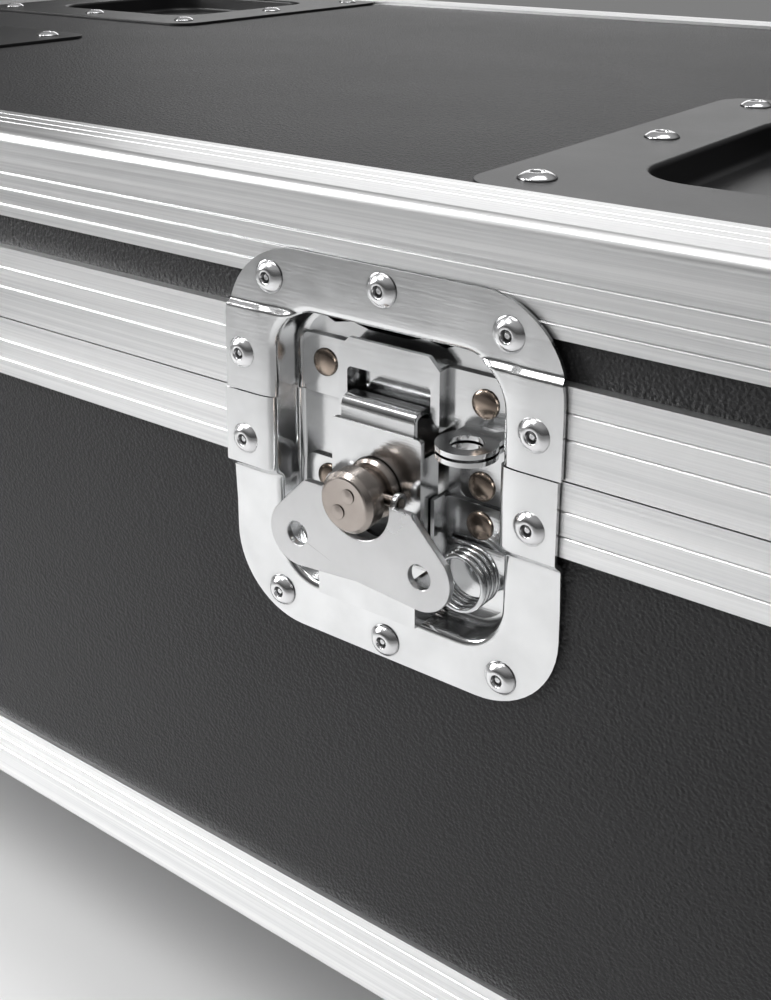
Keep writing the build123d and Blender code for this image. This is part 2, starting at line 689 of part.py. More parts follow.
def castor_plate(sx, sy):
    """Top plate with the fixed half of the swivel race."""
    top = BOTTOM_Z + EDGE_WALL
    plate = extrude(RectangleRounded(100, 85, 8), amount=PLATE_T)
    race = Pos(0, 0, -RACE_H / 2) * Cylinder(RACE_R, RACE_H)
    race = chamfer(race.edges().group_by(Axis.Z)[0], 2.5)
    return Pos(sx * CASTOR_X, sy * CASTOR_Y, top - PLATE_T) * (plate + race)


def castor_bolts():
    heads = []
    z = BOTTOM_Z + EDGE_WALL - PLATE_T
    for sx, sy in CORNERS:
        for bx, by in CORNERS:
            nut = extrude(RegularPolygon(6.5, 6), amount=-5.5)
            heads.append(Pos(sx * CASTOR_X + bx * 40, sy * CASTOR_Y + by * 32, z) * nut)
    return heads


def castor_fork(sx, sy):
    """Swivel fork: crown under the race, two cheeks down to the axle, and the axle itself."""
    crown_top = BOTTOM_Z + EDGE_WALL - PLATE_T - RACE_H - SWIVEL_GAP
    crown_low = crown_top - FORK_T
    crown = Pos(0, 0, crown_low + FORK_T / 2) * Cylinder(RACE_R - 3, FORK_T)
    cheek = Polyline([(-16, crown_top), (18, crown_top), (12, 64), (-TRAIL + 11, WHEEL_R - 4),
                      (-TRAIL - 11, WHEEL_R - 4), (-TRAIL - 11, WHEEL_R + 12)], close=True)
    fork = crown + block((-16, 18), (-FORK_HALF, FORK_HALF), (crown_low, crown_top))
    for side in SIDES:
        y = side * (FORK_HALF - FORK_T / 2)
        plane = Plane(origin=(0, y - FORK_T / 2, 0), x_dir=(1, 0, 0), z_dir=(0, -1, 0))
        face = make_face(cheek) + Pos(-TRAIL, WHEEL_R) * Circle(11.5)
        fork = fork + extrude(plane * face, amount=-FORK_T)
    axle = Pos(-TRAIL, 0, WHEEL_R) * Rot(90, 0, 0) * Cylinder(AXLE_R, 2 * FORK_HALF)
    hexagon = extrude(RegularPolygon(8.0, 6), amount=FORK_HALF + 5, both=True)
    head = Pos(-TRAIL, 0, WHEEL_R) * Rot(90, 0, 0) * hexagon
    gap = Pos(-TRAIL, 0, WHEEL_R) * Rot(90, 0, 0) * Cylinder(9.5, 2 * FORK_HALF)
    fork = fork + axle + (head - gap)
    return Pos(sx * CASTOR_X, sy * CASTOR_Y, 0) * fork


def castor_wheel(sx, sy):
    """Wheel with a crowned tread, a dished web and a hub."""
    half = WHEEL_HALF
    hub = 17.0
    rim = WHEEL_R - 9
    profile = [(AXLE_R + RUNNING, -half - 2), (hub * 0.7, -half - 2), (hub, -half + 3), (rim, -half + 4),
               (rim + 1, -half), (WHEEL_R - 2.5, -half), (WHEEL_R, -half + 4)]
    mirrored = [(r, -y) for r, y in reversed(profile)]
    body = revolve(Plane.XZ * make_face(Polyline(profile + mirrored, close=True)))
    return Pos(sx * CASTOR_X - TRAIL, sy * CASTOR_Y, WHEEL_R) * Rot(90, 0, 0) * body


# Handles

def handle_dish(side):
    """Shallow pressed dish in the end wall, with two lugs for the bail."""
    flange = extrude(RectangleRounded(HANDLE_W, HANDLE_H, HANDLE_R + 4), amount=SHEET)
    outer = extrude(RectangleRounded(HANDLE_WELL_W + 2 * SHEET, HANDLE_WELL_H + 2 * SHEET, HANDLE_R - 2),
                    amount=HANDLE_DEEP + SHEET)
    well_outline = RectangleRounded(HANDLE_WELL_W, HANDLE_WELL_H, HANDLE_R - 3)
    well = extrude(well_outline, amount=HANDLE_DEEP + SHEET + 1)
    solid = flange + Pos(0, 0, -HANDLE_DEEP) * outer - Pos(0, 0, -HANDLE_DEEP + SHEET) * well
    floor_z = -HANDLE_DEEP + SHEET
    pivot_z = floor_z + BAIL_GRIP_R + 0.4
    pivot_y = HANDLE_WELL_H / 2 - BAIL_PIVOT_DOWN
    for lug_side in SIDES:
        x = lug_side * (BAIL_HALF + 7.0)
        lug = block((x - 2, x + 2), (pivot_y - 6, pivot_y + 6), (floor_z, pivot_z + 4.5))
        solid = solid + lug
    bore = Pos(0, pivot_y, pivot_z) * Rot(0, 90, 0) * Cylinder(BAIL_ROD_R + RUNNING, 2 * BAIL_HALF + 20)
    return on_end_wall(solid - bore, side)


def on_end_wall(solid, side):
    """Local X runs along the wall, local Y is up and local Z points out of the wall."""
    wall_x = side * (CASE_W / 2 - EDGE_WALL)
    plane = Plane(origin=(wall_x, 0, HANDLE_Z), x_dir=(0, side, 0), z_dir=(side, 0, 0))
    return plane.location * solid


def handle_pivot():
    """Height above the wall and drop from the handle's centre of the bail's axis."""
    z = -HANDLE_DEEP + SHEET + BAIL_GRIP_R + 0.4
    return HANDLE_WELL_H / 2 - BAIL_PIVOT_DOWN, z


def bail_path():
    pivot_y, pivot_z = handle_pivot()
    low = pivot_y - BAIL_DROP
    corners = [(-BAIL_HALF, pivot_y, pivot_z), (-BAIL_HALF, low, pivot_z), (BAIL_HALF, low, pivot_z),
               (BAIL_HALF, pivot_y, pivot_z)]
    return FilletPolyline(corners, radius=9.0)


def handle_bail(side):
    """Bent rod with a cross end in each lug."""
    pivot_y, pivot_z = handle_pivot()
    path = bail_path()
    rod = sweep(Plane(origin=path @ 0, z_dir=path % 0) * Circle(BAIL_ROD_R), path=path)
    for end in SIDES:
        stub = Pos(end * (BAIL_HALF + 3), pivot_y, pivot_z) * Rot(0, 90, 0) * Cylinder(BAIL_ROD_R, 13)
        rod = rod + stub + Pos(end * BAIL_HALF, pivot_y, pivot_z) * Sphere(BAIL_ROD_R)
    return on_end_wall(rod, side)


def handle_sleeve(side):
    """Moulded grip on the middle of the bail."""
    pivot_y, pivot_z = handle_pivot()
    half = BAIL_HALF - 11
    sleeve = Pos(0, pivot_y - BAIL_DROP, pivot_z) * Rot(0, 90, 0) * Cylinder(BAIL_GRIP_R, 2 * half)
    sleeve = chamfer(sleeve.edges().filter_by(GeomType.CIRCLE), 1.2)
    bore = Pos(0, pivot_y - BAIL_DROP, pivot_z) * Rot(0, 90, 0) * Cylinder(BAIL_ROD_R + RUNNING, 2 * half + 2)
    return on_end_wall(sleeve - bore, side)


# Hinges

def hinge_leaf(x, up, knuckles):
    """One leaf on the closure extrusion, with its share of the knuckles."""
    face_y = CASE_D / 2 + CLOSURE_PROUD
    low, high = sorted((up * 0.6, up * (BODY_CLOSURE_H - 2.5)))
    leaf = block((x - HINGE_W / 2, x + HINGE_W / 2), (face_y, face_y + LEAF_T), (PART_Z + low, PART_Z + high))
    for start, stop in knuckles:
        knuckle = Rot(0, 90, 0) * Cylinder(KNUCKLE_R, stop - start)
        barrel = Pos(x + (start + stop) / 2, HINGE_Y, PART_Z) * knuckle
        web = block((x + start, x + stop), (face_y, HINGE_Y), sorted((PART_Z + up * 0.6, PART_Z + up * 4.2)))
        leaf = leaf + barrel + web
    bore = Pos(x, HINGE_Y, PART_Z) * Rot(0, 90, 0) * Cylinder(HINGE_PIN_R + RUNNING, HINGE_W + 4)
    return leaf - bore


def hinge_body_leaves():
    third = HINGE_W / 6
    spans = ((-HINGE_W / 2, -third - 0.3), (third + 0.3, HINGE_W / 2))
    return [hinge_leaf(side * HINGE_X, -1, spans) for side in SIDES]


def hinge_lid_leaves():
    third = HINGE_W / 6
    return [hinge_leaf(side * HINGE_X, 1, ((-third + 0.3, third - 0.3),)) for side in SIDES]


def hinge_pins():
    return [Pos(side * HINGE_X, HINGE_Y, PART_Z) * Rot(0, 90, 0) * Cylinder(HINGE_PIN_R, HINGE_W + 1.5)
            for side in SIDES]


# Foam lining

def foam_floor():
    half_x = CASE_W / 2 - EDGE_GRIP - 1
    half_y = CASE_D / 2 - EDGE_GRIP - 1
    low = BOTTOM_Z + PLY_IN + FOAM_STANDOFF
    return block((-half_x, half_x), (-half_y, half_y), (low, low + FOAM_FLOOR))


def foam_walls():
    """Four slabs that stand on the floor foam and stop below the closure extrusion."""
    out_x = CASE_W / 2 - EDGE_GRIP - 1
    out_y = CASE_D / 2 - EDGE_GRIP - 1
    low = BOTTOM_Z + PLY_IN + FOAM_STANDOFF + FOAM_FLOOR + FOAM_STANDOFF
    high = PART_Z - 6
    slabs = []
    for side in SIDES:
        slabs.append(block((-out_x, out_x), sorted((side * out_y, side * (out_y - FOAM_WALL))), (low, high)))
        inner = out_y - FOAM_WALL - FOAM_STANDOFF
        slabs.append(block(sorted((side * out_x, side * (out_x - FOAM_WALL))), (-inner, inner), (low, high)))
    return slabs


def foam_lid():
    half_x = CASE_W / 2 - EDGE_GRIP - 1
    half_y = CASE_D / 2 - EDGE_GRIP - 1
    high = TOP_Z - PLY_IN - 5
    return block((-half_x, half_x), (-half_y, half_y), (high - FOAM_LID, high))


# Small rivets of the ball corners, hinges and handles

def corner_rivets(sz):
    heads = []
    for sx, sy in CORNERS:
        z0 = TOP_Z if sz > 0 else BOTTOM_Z
        inset = along = 24.0
        face = 2.0
        heads.append(facing(small_rivet(SMALL_RIVET_R, SMALL_RIVET_H), sx * (CASE_W / 2 + face),
                            sy * (CASE_D / 2 - inset), z0 - sz * along, (sx, 0, 0)))
        heads.append(facing(small_rivet(SMALL_RIVET_R, SMALL_RIVET_H), sx * (CASE_W / 2 - inset),
                            sy * (CASE_D / 2 + face), z0 - sz * along, (0, sy, 0)))
        heads.append(facing(small_rivet(SMALL_RIVET_R, SMALL_RIVET_H), sx * (CASE_W / 2 - inset),
                            sy * (CASE_D / 2 - along), z0 + sz * face, (0, 0, sz)))
    return heads


def hinge_rivets(up):
    heads = []
    face_y = CASE_D / 2 + CLOSURE_PROUD + LEAF_T
    for side in SIDES:
        for x in (-26.0, 0.0, 26.0):
            heads.append(facing(small_rivet(SMALL_RIVET_R, SMALL_RIVET_H), side * HINGE_X + x, face_y,
                                PART_Z + up * 11.5, (0, 1, 0)))
    return heads


def handle_rivets():
    heads = []
    for side in SIDES:
        for x in (-66.0, 0.0, 66.0):
            for y in SIDES:
                up = HANDLE_H / 2 - 9
                bend = 8 if x else 0
                head = Pos(x, y * (up - bend), SHEET) * small_rivet(SMALL_RIVET_R, SMALL_RIVET_H)
                heads.append(on_end_wall(head, side))
    return heads


def main():
    os.makedirs("parts", exist_ok=True)
    upper, lower = dish_halves()
    windows = latch_windows()
    xs = LATCHES.values()

    write("body_front_panel", [body_wall(-1, 1) - windows])
    write("body_back_panel", [body_wall(1, 1)])
    write("body_left_panel", [body_wall(-1, 0) - handle_window(-1)])
    write("body_right_panel", [body_wall(1, 0) - handle_window(1)])
    write("floor_panel", [flat_panel(BOTTOM_Z + EDGE_WALL)])
    write("bottom_edges", bottom_edges())
    write("corner_edges", corner_edges())
    write("body_closure", body_closure())
    write("body_ball_corners", [ball_corner(sx, sy, -1) for sx, sy in CORNERS])
    write("body_foam", [foam_floor()] + foam_walls())

    top = flat_panel(TOP_Z - PLY_IN)
    for sx, sy in CORNERS:
        top = top - cup_window(sx, sy)
    write("lid_top_panel", [top])
    write("lid_front_panel", [lid_wall(-1, 1) - windows])
    write("lid_back_panel", [lid_wall(1, 1)])
    write("lid_left_panel", [lid_wall(-1, 0)])
    write("lid_right_panel", [lid_wall(1, 0)])
    write("lid_edges", lid_edges())
    write("lid_closure", lid_closure())
    write("lid_ball_corners", [ball_corner(sx, sy, 1) for sx, sy in CORNERS])
    write("lid_foam", [foam_lid()])

    write("latch_upper_dishes", [at_latch(upper, x) for x in xs])
    write("latch_lower_dishes", [at_latch(lower, x) for x in xs])
    write("latch_keepers", [at_latch(keeper(), x) for x in xs])
    write("latch_hasps", [at_latch(lower_hasp(), x) for x in xs])
    write("latch_bases", [at_latch(latch_base(), x) for x in xs])
    write("latch_springs", [at_latch(spring(), x) for x in xs])
    for name, x in LATCHES.items():
        write("latch_hook_" + name, [at_latch(hook(), x)])
        write("latch_spindle_" + name, [at_latch(spindle(), x)])
        write("latch_wing_" + name, [at_latch(wing(), x)])
    print("least gap between the spring's turns, mm:", round(spring_gap(), 3))

    write("latch_rivets_lid", latch_rivets(LATCH_RIVETS_LID))
    write("latch_rivets_body", latch_rivets(LATCH_RIVETS_BODY))
    write("latch_studs_lid", latch_studs(LID_STUDS))
    write("latch_studs_body", latch_studs(BODY_STUDS))
    write("small_rivets_lid", corner_rivets(1) + hinge_rivets(1) + cup_rivets())
    write("small_rivets_body", corner_rivets(-1) + hinge_rivets(-1) + handle_rivets())

    for sx, sy in CORNERS:
        place = ("front" if sy < 0 else "rear") + ("_left" if sx < 0 else "_right")
        write("castor_cup_" + place, [castor_cup(sx, sy)])
        write("castor_fork_" + place, [castor_fork(sx, sy)])
        write("castor_wheel_" + place, [castor_wheel(sx, sy)])
    write("castor_plates", [castor_plate(sx, sy) for sx, sy in CORNERS])
    write("castor_bolts", castor_bolts())

    for side, name in zip(SIDES, ("left", "right")):
        write("handle_dish_" + name, [handle_dish(side)])
        write("handle_bail_" + name, [handle_bail(side)])
        write("handle_sleeve_" + name, [handle_sleeve(side)])
    write("hinge_body_leaves", hinge_body_leaves())
    write("hinge_lid_leaves", hinge_lid_leaves())
    write("hinge_pins", hinge_pins())


main()
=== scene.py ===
# %% [markdown]
# A lighting flight case: black laminated panels held by satin aluminium profiles, closed by
# two recessed twist latches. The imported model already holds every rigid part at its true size,
# so this script dresses it. Flat sheet parts keep their own solids and get a small bevel. What
# is pressed, turned, wound, moulded or soft is modelled again here with rounded forms. Loading
# the frame first gives every later cell the bodies to ride on and the boxes to measure from.

# %% Load the frame
import json
import math
import bmesh
import bpy
from mathutils import Matrix, Vector, noise


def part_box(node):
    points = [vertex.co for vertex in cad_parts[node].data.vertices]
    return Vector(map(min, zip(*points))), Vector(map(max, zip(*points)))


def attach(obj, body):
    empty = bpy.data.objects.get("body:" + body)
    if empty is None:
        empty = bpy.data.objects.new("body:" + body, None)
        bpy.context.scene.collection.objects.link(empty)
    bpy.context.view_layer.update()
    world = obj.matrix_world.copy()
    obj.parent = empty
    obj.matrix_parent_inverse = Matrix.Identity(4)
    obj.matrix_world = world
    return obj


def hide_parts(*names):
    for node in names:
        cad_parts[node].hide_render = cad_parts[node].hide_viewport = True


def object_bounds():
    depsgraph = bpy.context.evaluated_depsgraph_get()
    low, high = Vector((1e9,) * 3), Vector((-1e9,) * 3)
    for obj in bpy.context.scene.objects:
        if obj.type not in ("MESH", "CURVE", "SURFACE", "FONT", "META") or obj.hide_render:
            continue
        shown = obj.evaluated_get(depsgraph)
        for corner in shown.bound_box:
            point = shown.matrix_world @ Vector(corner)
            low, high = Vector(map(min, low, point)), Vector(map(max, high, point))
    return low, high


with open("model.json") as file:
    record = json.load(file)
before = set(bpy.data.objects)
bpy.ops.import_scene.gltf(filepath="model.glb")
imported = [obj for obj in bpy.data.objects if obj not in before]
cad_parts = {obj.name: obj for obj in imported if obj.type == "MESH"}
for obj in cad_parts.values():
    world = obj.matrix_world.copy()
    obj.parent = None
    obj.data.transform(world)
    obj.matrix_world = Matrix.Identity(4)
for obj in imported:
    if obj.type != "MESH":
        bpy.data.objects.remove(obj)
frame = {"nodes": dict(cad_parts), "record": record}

cad_low, cad_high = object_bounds()
scene = bpy.context.scene
nodes = frame["nodes"]
MM = 0.001
print("frame:", len(nodes), "nodes, size in mm", [round(v / MM) for v in cad_high - cad_low])

# %% [markdown]
# Everything on the front of the case is placed from the latch plate, as on the real case, where
# the latch is bought in one size and the profiles are cut to suit it. The plate's centre comes
# from the boxes of its two dish halves, so that it is never typed a second time.

# %% Landmarks read from the frame
PLATE_H = 112 * MM
PLATE_W = 107 * MM
SHEET = 1.2 * MM
SPLIT_GAP = 0.4 * MM
lid_dish_low, lid_dish_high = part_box("latch_upper_dishes")
body_dish_low, body_dish_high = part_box("latch_lower_dishes")
LATCH_X = body_dish_high.x - PLATE_W / 2
FACE_Y = lid_dish_low.y
LATCH_Z = lid_dish_high.z - PLATE_H / 2
LATCH_PLACES = {"left": -LATCH_X, "right": LATCH_X}
SPLIT_Z = body_dish_high.z + SPLIT_GAP / 2 - LATCH_Z
print("latch centre, mm:", [round(v / MM, 1) for v in (LATCH_X, FACE_Y, LATCH_Z)])
print("dish halves part", round(SPLIT_Z / MM, 2), "mm above it")

# %% [markdown]
# The picture is a close view of the right-hand latch, taken from the right and a little above
# with a shifted lens, so that upright edges stay upright. The camera was found by matching the
# plate's rivets and the profile lines. The lens is shifted by about a fifth of the frame, which
# keeps most of that look and still leaves the whole case in view from other sides.

# %% Camera
CAMERA_FROM_LATCH = Vector((194.6, -256.5, 148.4)) * MM
CAMERA_AZIMUTH = math.radians(36.85)
CAMERA_ELEVATION = math.radians(16.5)
CAMERA_LENS = 48.3
CAMERA_SENSOR = 36
CAMERA_SHIFT_Y = -0.22
CAMERA_NEAR = 10 * MM


def make_camera():
    data = bpy.data.cameras.new("photo_camera")
    data.lens = CAMERA_LENS
    data.sensor_width = CAMERA_SENSOR
    data.shift_y = CAMERA_SHIFT_Y
    data.clip_start = CAMERA_NEAR
    camera = bpy.data.objects.new("photo_camera", data)
    scene.collection.objects.link(camera)
    camera.location = Vector((LATCH_X, FACE_Y, LATCH_Z)) + CAMERA_FROM_LATCH
    ahead = Vector((-math.sin(CAMERA_AZIMUTH) * math.cos(CAMERA_ELEVATION),
                    math.cos(CAMERA_AZIMUTH) * math.cos(CAMERA_ELEVATION),
                    -math.sin(CAMERA_ELEVATION)))
    camera.rotation_mode = "QUATERNION"
    camera.rotation_quaternion = ahead.to_track_quat("-Z", "Y")
    scene.camera = camera
    return camera


print("camera at", [round(v, 3) for v in make_camera().location])

# %% [markdown]
# The case stands on a plain pale floor. It could be a curved backdrop, but a flat sheet that
# reaches far enough gives the same even tone from every side and has nothing to clip.

# %% Floor
FLOOR_SIZE = 30.0
FLOOR_SHADE = 0.82
FLOOR_ROUGHNESS = 0.9


def make_floor():
    mesh = bpy.data.meshes.new("studio_floor")
    half = FLOOR_SIZE / 2
    corners = [(-half, -half, 0), (half, -half, 0), (half, half, 0), (-half, half, 0)]
    mesh.from_pydata(corners, [], [(0, 1, 2, 3)])
    floor = bpy.data.objects.new("studio_floor", mesh)
    scene.collection.objects.link(floor)
    paint = bpy.data.materials.new("studio_floor_paint")
    paint.use_nodes = True
    shader = paint.node_tree.nodes["Principled BSDF"]
    shader.inputs["Base Color"].default_value = (FLOOR_SHADE, FLOOR_SHADE, FLOOR_SHADE, 1)
    shader.inputs["Roughness"].default_value = FLOOR_ROUGHNESS
    mesh.materials.append(paint)
    return floor


print("floor:", make_floor().name, "of", FLOOR_SIZE, "m")

# %% [markdown]
# Bright plating shows its surroundings more than itself. On a real table the far room is dark,
# so upright plating turns grey towards its head. The sky is therefore dim, darkest just over
# the horizon and light overhead. A ramp over the view direction's height does that, and stays
# free of any picture.

# %% Sky
SKY_STRENGTH = 0.32
SKY_SHADES = ((0.0, 0.24), (0.10, 0.16), (0.30, 0.34), (0.72, 1.0))


def make_sky():
    """A grey sky whose shade follows height: each stop is (height, shade)."""
    world = bpy.data.worlds.new("studio_sky")
    world.use_nodes = True
    tree = world.node_tree
    tree.nodes.clear()
    coords = tree.nodes.new("ShaderNodeTexCoord")
    split = tree.nodes.new("ShaderNodeSeparateXYZ")
    ramp = tree.nodes.new("ShaderNodeValToRGB")
    back = tree.nodes.new("ShaderNodeBackground")
    out = tree.nodes.new("ShaderNodeOutputWorld")
    tree.links.new(coords.outputs["Generated"], split.inputs[0])
    tree.links.new(split.outputs["Z"], ramp.inputs[0])
    tree.links.new(ramp.outputs[0], back.inputs[0])
    tree.links.new(back.outputs[0], out.inputs[0])
    ramp.color_ramp.interpolation = "EASE"
    stops = ramp.color_ramp.elements
    while len(stops) < len(SKY_SHADES):
        stops.new(0.5)
    for stop, (height, shade) in zip(stops, SKY_SHADES):
        stop.position = height
        stop.color = (shade, shade, shade, 1)
    back.inputs["Strength"].default_value = SKY_STRENGTH
    scene.world = world
    return world


print("sky:", make_sky().name, "with", len(SKY_SHADES), "stops")

# %% [markdown]
# A narrow panel is aimed down at the floor in front and makes a pool of light there, which the
# lower half of the latch mirrors as white. A second panel at the left lights the front, a third
# the lid from above, and a fourth the back, so that no side falls dark. The standard view
# transform keeps whites white, as a product photograph does.

# %% Lamps
# name, place, aim (metres), width, height (metres), power (watts), spread (degrees)
LAMPS = (("pool_panel", (-0.45, -0.95, 1.4), (-0.15, -0.58, 0.0), 0.5, 0.4, 1.7, 60),
         ("left_panel", (-1.3, -1.0, 0.9), (0.0, -0.2, 0.28), 0.5, 0.9, 3.0, 62),
         ("top_panel", (0.25, -0.1, 1.8), (0.1, 0.0, 0.3), 1.3, 0.6, 2.7, 90),
         ("rear_panel", (-1.1, 1.9, 1.1), (0.0, 0.0, 0.3), 1.8, 0.8, 2.8, 120))


def make_lamp(name, place, aim, width, height, power, spread):
    data = bpy.data.lights.new(name, "AREA")
    data.shape = "RECTANGLE"
    data.size = width
    data.size_y = height
    data.energy = power
    data.spread = math.radians(spread)
    lamp = bpy.data.objects.new(name, data)
    scene.collection.objects.link(lamp)
    lamp.location = place
    lamp.rotation_mode = "QUATERNION"
    lamp.rotation_quaternion = (Vector(aim) - Vector(place)).to_track_quat("-Z", "Y")
    return lamp


for lamp_values in LAMPS:
    make_lamp(*lamp_values)
scene.view_settings.view_transform = "Standard"
print("lamps:", [lamp_values[0] for lamp_values in LAMPS])

# %% [markdown]
# The finishes here share three effects: fine grain that runs one way, a mottled unevenness, and
# a pebbled height. Each is a node group, made once, with its own inputs, and placed in a material
# with its own values. A group gives out only values that change over the surface. Bump and the
# shader stay in the material, where they can be read. Two helpers come first: one makes the group
# and its sockets, the other scales the object's own coordinates.

# %% Group helpers
def new_group(name, inputs, outputs):
    """A shader group with float inputs {name: default} and float outputs."""
    group = bpy.data.node_groups.new(name, "ShaderNodeTree")
    for socket, value in inputs.items():
        made = group.interface.new_socket(socket, in_out="INPUT", socket_type="NodeSocketFloat")
        made.default_value = value
    for socket in outputs:
        group.interface.new_socket(socket, in_out="OUTPUT", socket_type="NodeSocketFloat")
    return group, group.nodes.new("NodeGroupInput"), group.nodes.new("NodeGroupOutput")


def scaled_position(group, given, axis_names):
    """Object position multiplied on each axis by the group's inputs of those names."""
    coords = group.nodes.new("ShaderNodeTexCoord")
    scale = group.nodes.new("ShaderNodeCombineXYZ")
    times = group.nodes.new("ShaderNodeVectorMath")
    times.operation = "MULTIPLY"
    for index, name in enumerate(axis_names):
        group.links.new(given.outputs[name], scale.inputs[index])
    group.links.new(coords.outputs["Object"], times.inputs[0])
    group.links.new(scale.outputs[0], times.inputs[1])
    return times.outputs[0]


print("group helpers ready")

# %% [markdown]
# Brushing and drawing leave fine lines that run one way. Stretched noise gives them: the noise
# is slow along the line and very fast across it, and the three scales say which way that is.

# %% Drawn grain
GRAIN_AXES = ("Scale X", "Scale Y", "Scale Z")
GRAIN_DEFAULTS = {"Scale X": 30, "Scale Y": 3000, "Scale Z": 3000, "Detail": 4}
GRAIN_ROUGHNESS = 0.65


def grain_group():
    """Noise stretched along one axis: brushing, drawing lines, streaks."""
    group, given, out = new_group("drawn_grain", GRAIN_DEFAULTS, ["Grain"])
    place = scaled_position(group, given, GRAIN_AXES)
    tex = group.nodes.new("ShaderNodeTexNoise")
    tex.inputs["Scale"].default_value = 1.0
    tex.inputs["Roughness"].default_value = GRAIN_ROUGHNESS
    group.links.new(given.outputs["Detail"], tex.inputs["Detail"])
    group.links.new(place, tex.inputs["Vector"])
    group.links.new(tex.outputs["Fac"], out.inputs["Grain"])
    return group


GRAIN = grain_group()
print("group:", GRAIN.name)

# %% [markdown]
# No rolled or coated surface is quite even. A slow cloud of noise carries that unevenness into
# colour, roughness and a very shallow bump.

# %% Mottle
MOTTLE_DETAIL = 6


def mottle_group():
    """Slow cloudy variation over a surface."""
    group, given, out = new_group("mottle", {"Scale": 25}, ["Cloud"])
    coords = group.nodes.new("ShaderNodeTexCoord")
    tex = group.nodes.new("ShaderNodeTexNoise")
    tex.inputs["Detail"].default_value = MOTTLE_DETAIL
    group.links.new(coords.outputs["Object"], tex.inputs["Vector"])
    group.links.new(given.outputs["Scale"], tex.inputs["Scale"])
    group.links.new(tex.outputs["Fac"], out.inputs["Cloud"])
    return group


MOTTLE = mottle_group()
print("group:", MOTTLE.name)

# %% [markdown]
# Leather-grain laminate, moulded rubber and open foam are all made of small cells with creases
# between them. Smooth cells give the height, and a little finer noise on top breaks them up.

# %% Pebble grain
PEBBLE_DEFAULTS = {"Scale": 900, "Fine": 2600}
PEBBLE_FINE_DETAIL = 2
PEBBLE_FINE_SHARE = 0.45


def pebble_group():
    """Leather-like grain: creases between small cells, with a finer noise on top."""
    group, given, out = new_group("pebble_grain", PEBBLE_DEFAULTS, ["Height"])
    coords = group.nodes.new("ShaderNodeTexCoord")
    cells = group.nodes.new("ShaderNodeTexVoronoi")
    cells.feature = "SMOOTH_F1"
    fine = group.nodes.new("ShaderNodeTexNoise")
    fine.inputs["Detail"].default_value = PEBBLE_FINE_DETAIL
    blend = group.nodes.new("ShaderNodeMath")
    blend.operation = "MULTIPLY_ADD"
    blend.inputs[1].default_value = PEBBLE_FINE_SHARE
    group.links.new(coords.outputs["Object"], cells.inputs["Vector"])
    group.links.new(coords.outputs["Object"], fine.inputs["Vector"])
    group.links.new(given.outputs["Scale"], cells.inputs["Scale"])
    group.links.new(given.outputs["Fine"], fine.inputs["Scale"])
    group.links.new(fine.outputs["Fac"], blend.inputs[0])
    group.links.new(cells.outputs["Distance"], blend.inputs[2])
    group.links.new(blend.outputs[0], out.inputs["Height"])
    return group


PEBBLE = pebble_group()
print("group:", PEBBLE.name)

# %% [markdown]
# A finish is a Principled shader with a colour that drifts between two close shades, a roughness
# that drifts the same way, and a bump. These helpers make the single steps: a ramp from shade to
# shade, a value between two limits, and a group placed with its own values. The last one paints
# shade into a colour in narrow grooves and where parts meet, read from an occlusion node.

# %% Finish steps
# Rays that the occlusion node casts for the shade painted into grooves.
PAINTED_SHADE_SAMPLES = 6


def ramp_between(tree, source, shades, span):
    """A colour ramp from the first shade to the second, as source runs over the span."""
    ramp = tree.nodes.new("ShaderNodeValToRGB")
    for end, place, shade in zip(ramp.color_ramp.elements, span, shades):
        end.position = place
        end.color = (*shade, 1)
    tree.links.new(source, ramp.inputs[0])
    return ramp.outputs[0]


def value_between(tree, source, low, high):
    """Maps source from 0..1 to low..high."""
    remap = tree.nodes.new("ShaderNodeMapRange")
    remap.inputs["To Min"].default_value = low
    remap.inputs["To Max"].default_value = high
    tree.links.new(source, remap.inputs["Value"])
    return remap.outputs[0]


def place_group(tree, group, **values):
    node = tree.nodes.new("ShaderNodeGroup")
    node.node_tree = group
    for name, value in values.items():
        node.inputs[name.replace("_", " ")].default_value = value
    return node


def groove_painted_shade(tree, colour, reach, deep_shade):
    """Paints shade into a colour: multiplies it by a darker shade in narrow grooves and beside other parts.
    """
    nearness = tree.nodes.new("ShaderNodeAmbientOcclusion")
    nearness.samples = PAINTED_SHADE_SAMPLES
    nearness.inputs["Distance"].default_value = reach
    shade = value_between(tree, nearness.outputs["AO"], deep_shade, 1.0)
    times = tree.nodes.new("ShaderNodeVectorMath")
    times.operation = "SCALE"
    tree.links.new(colour, times.inputs[0])
    tree.links.new(shade, times.inputs["Scale"])
    return times.outputs[0]


print("finish steps ready")

# %% [markdown]
# One helper wires those steps together, so that each finish below is a short list of values.
# Uniform values go straight onto the shader's own sockets. Bumps are chained: each one tilts the
# normal that the one before it gave.

# %% Finish helper
CLOUD_SPAN = (0.3, 0.7)
FINISHES = {}


def chained_bumps(tree, bumps):
    """The normal after all bumps, or None. Each bump is (group, output, values, depth)."""
    normal = None
    for group, output, values, depth in bumps:
        grain = place_group(tree, group, **values)
        node = tree.nodes.new("ShaderNodeBump")
        node.inputs["Strength"].default_value = 1.0
        node.inputs["Distance"].default_value = depth
        tree.links.new(grain.outputs[output], node.inputs["Height"])
        if normal:
            tree.links.new(normal, node.inputs["Normal"])
        normal = node.outputs[0]
    return normal


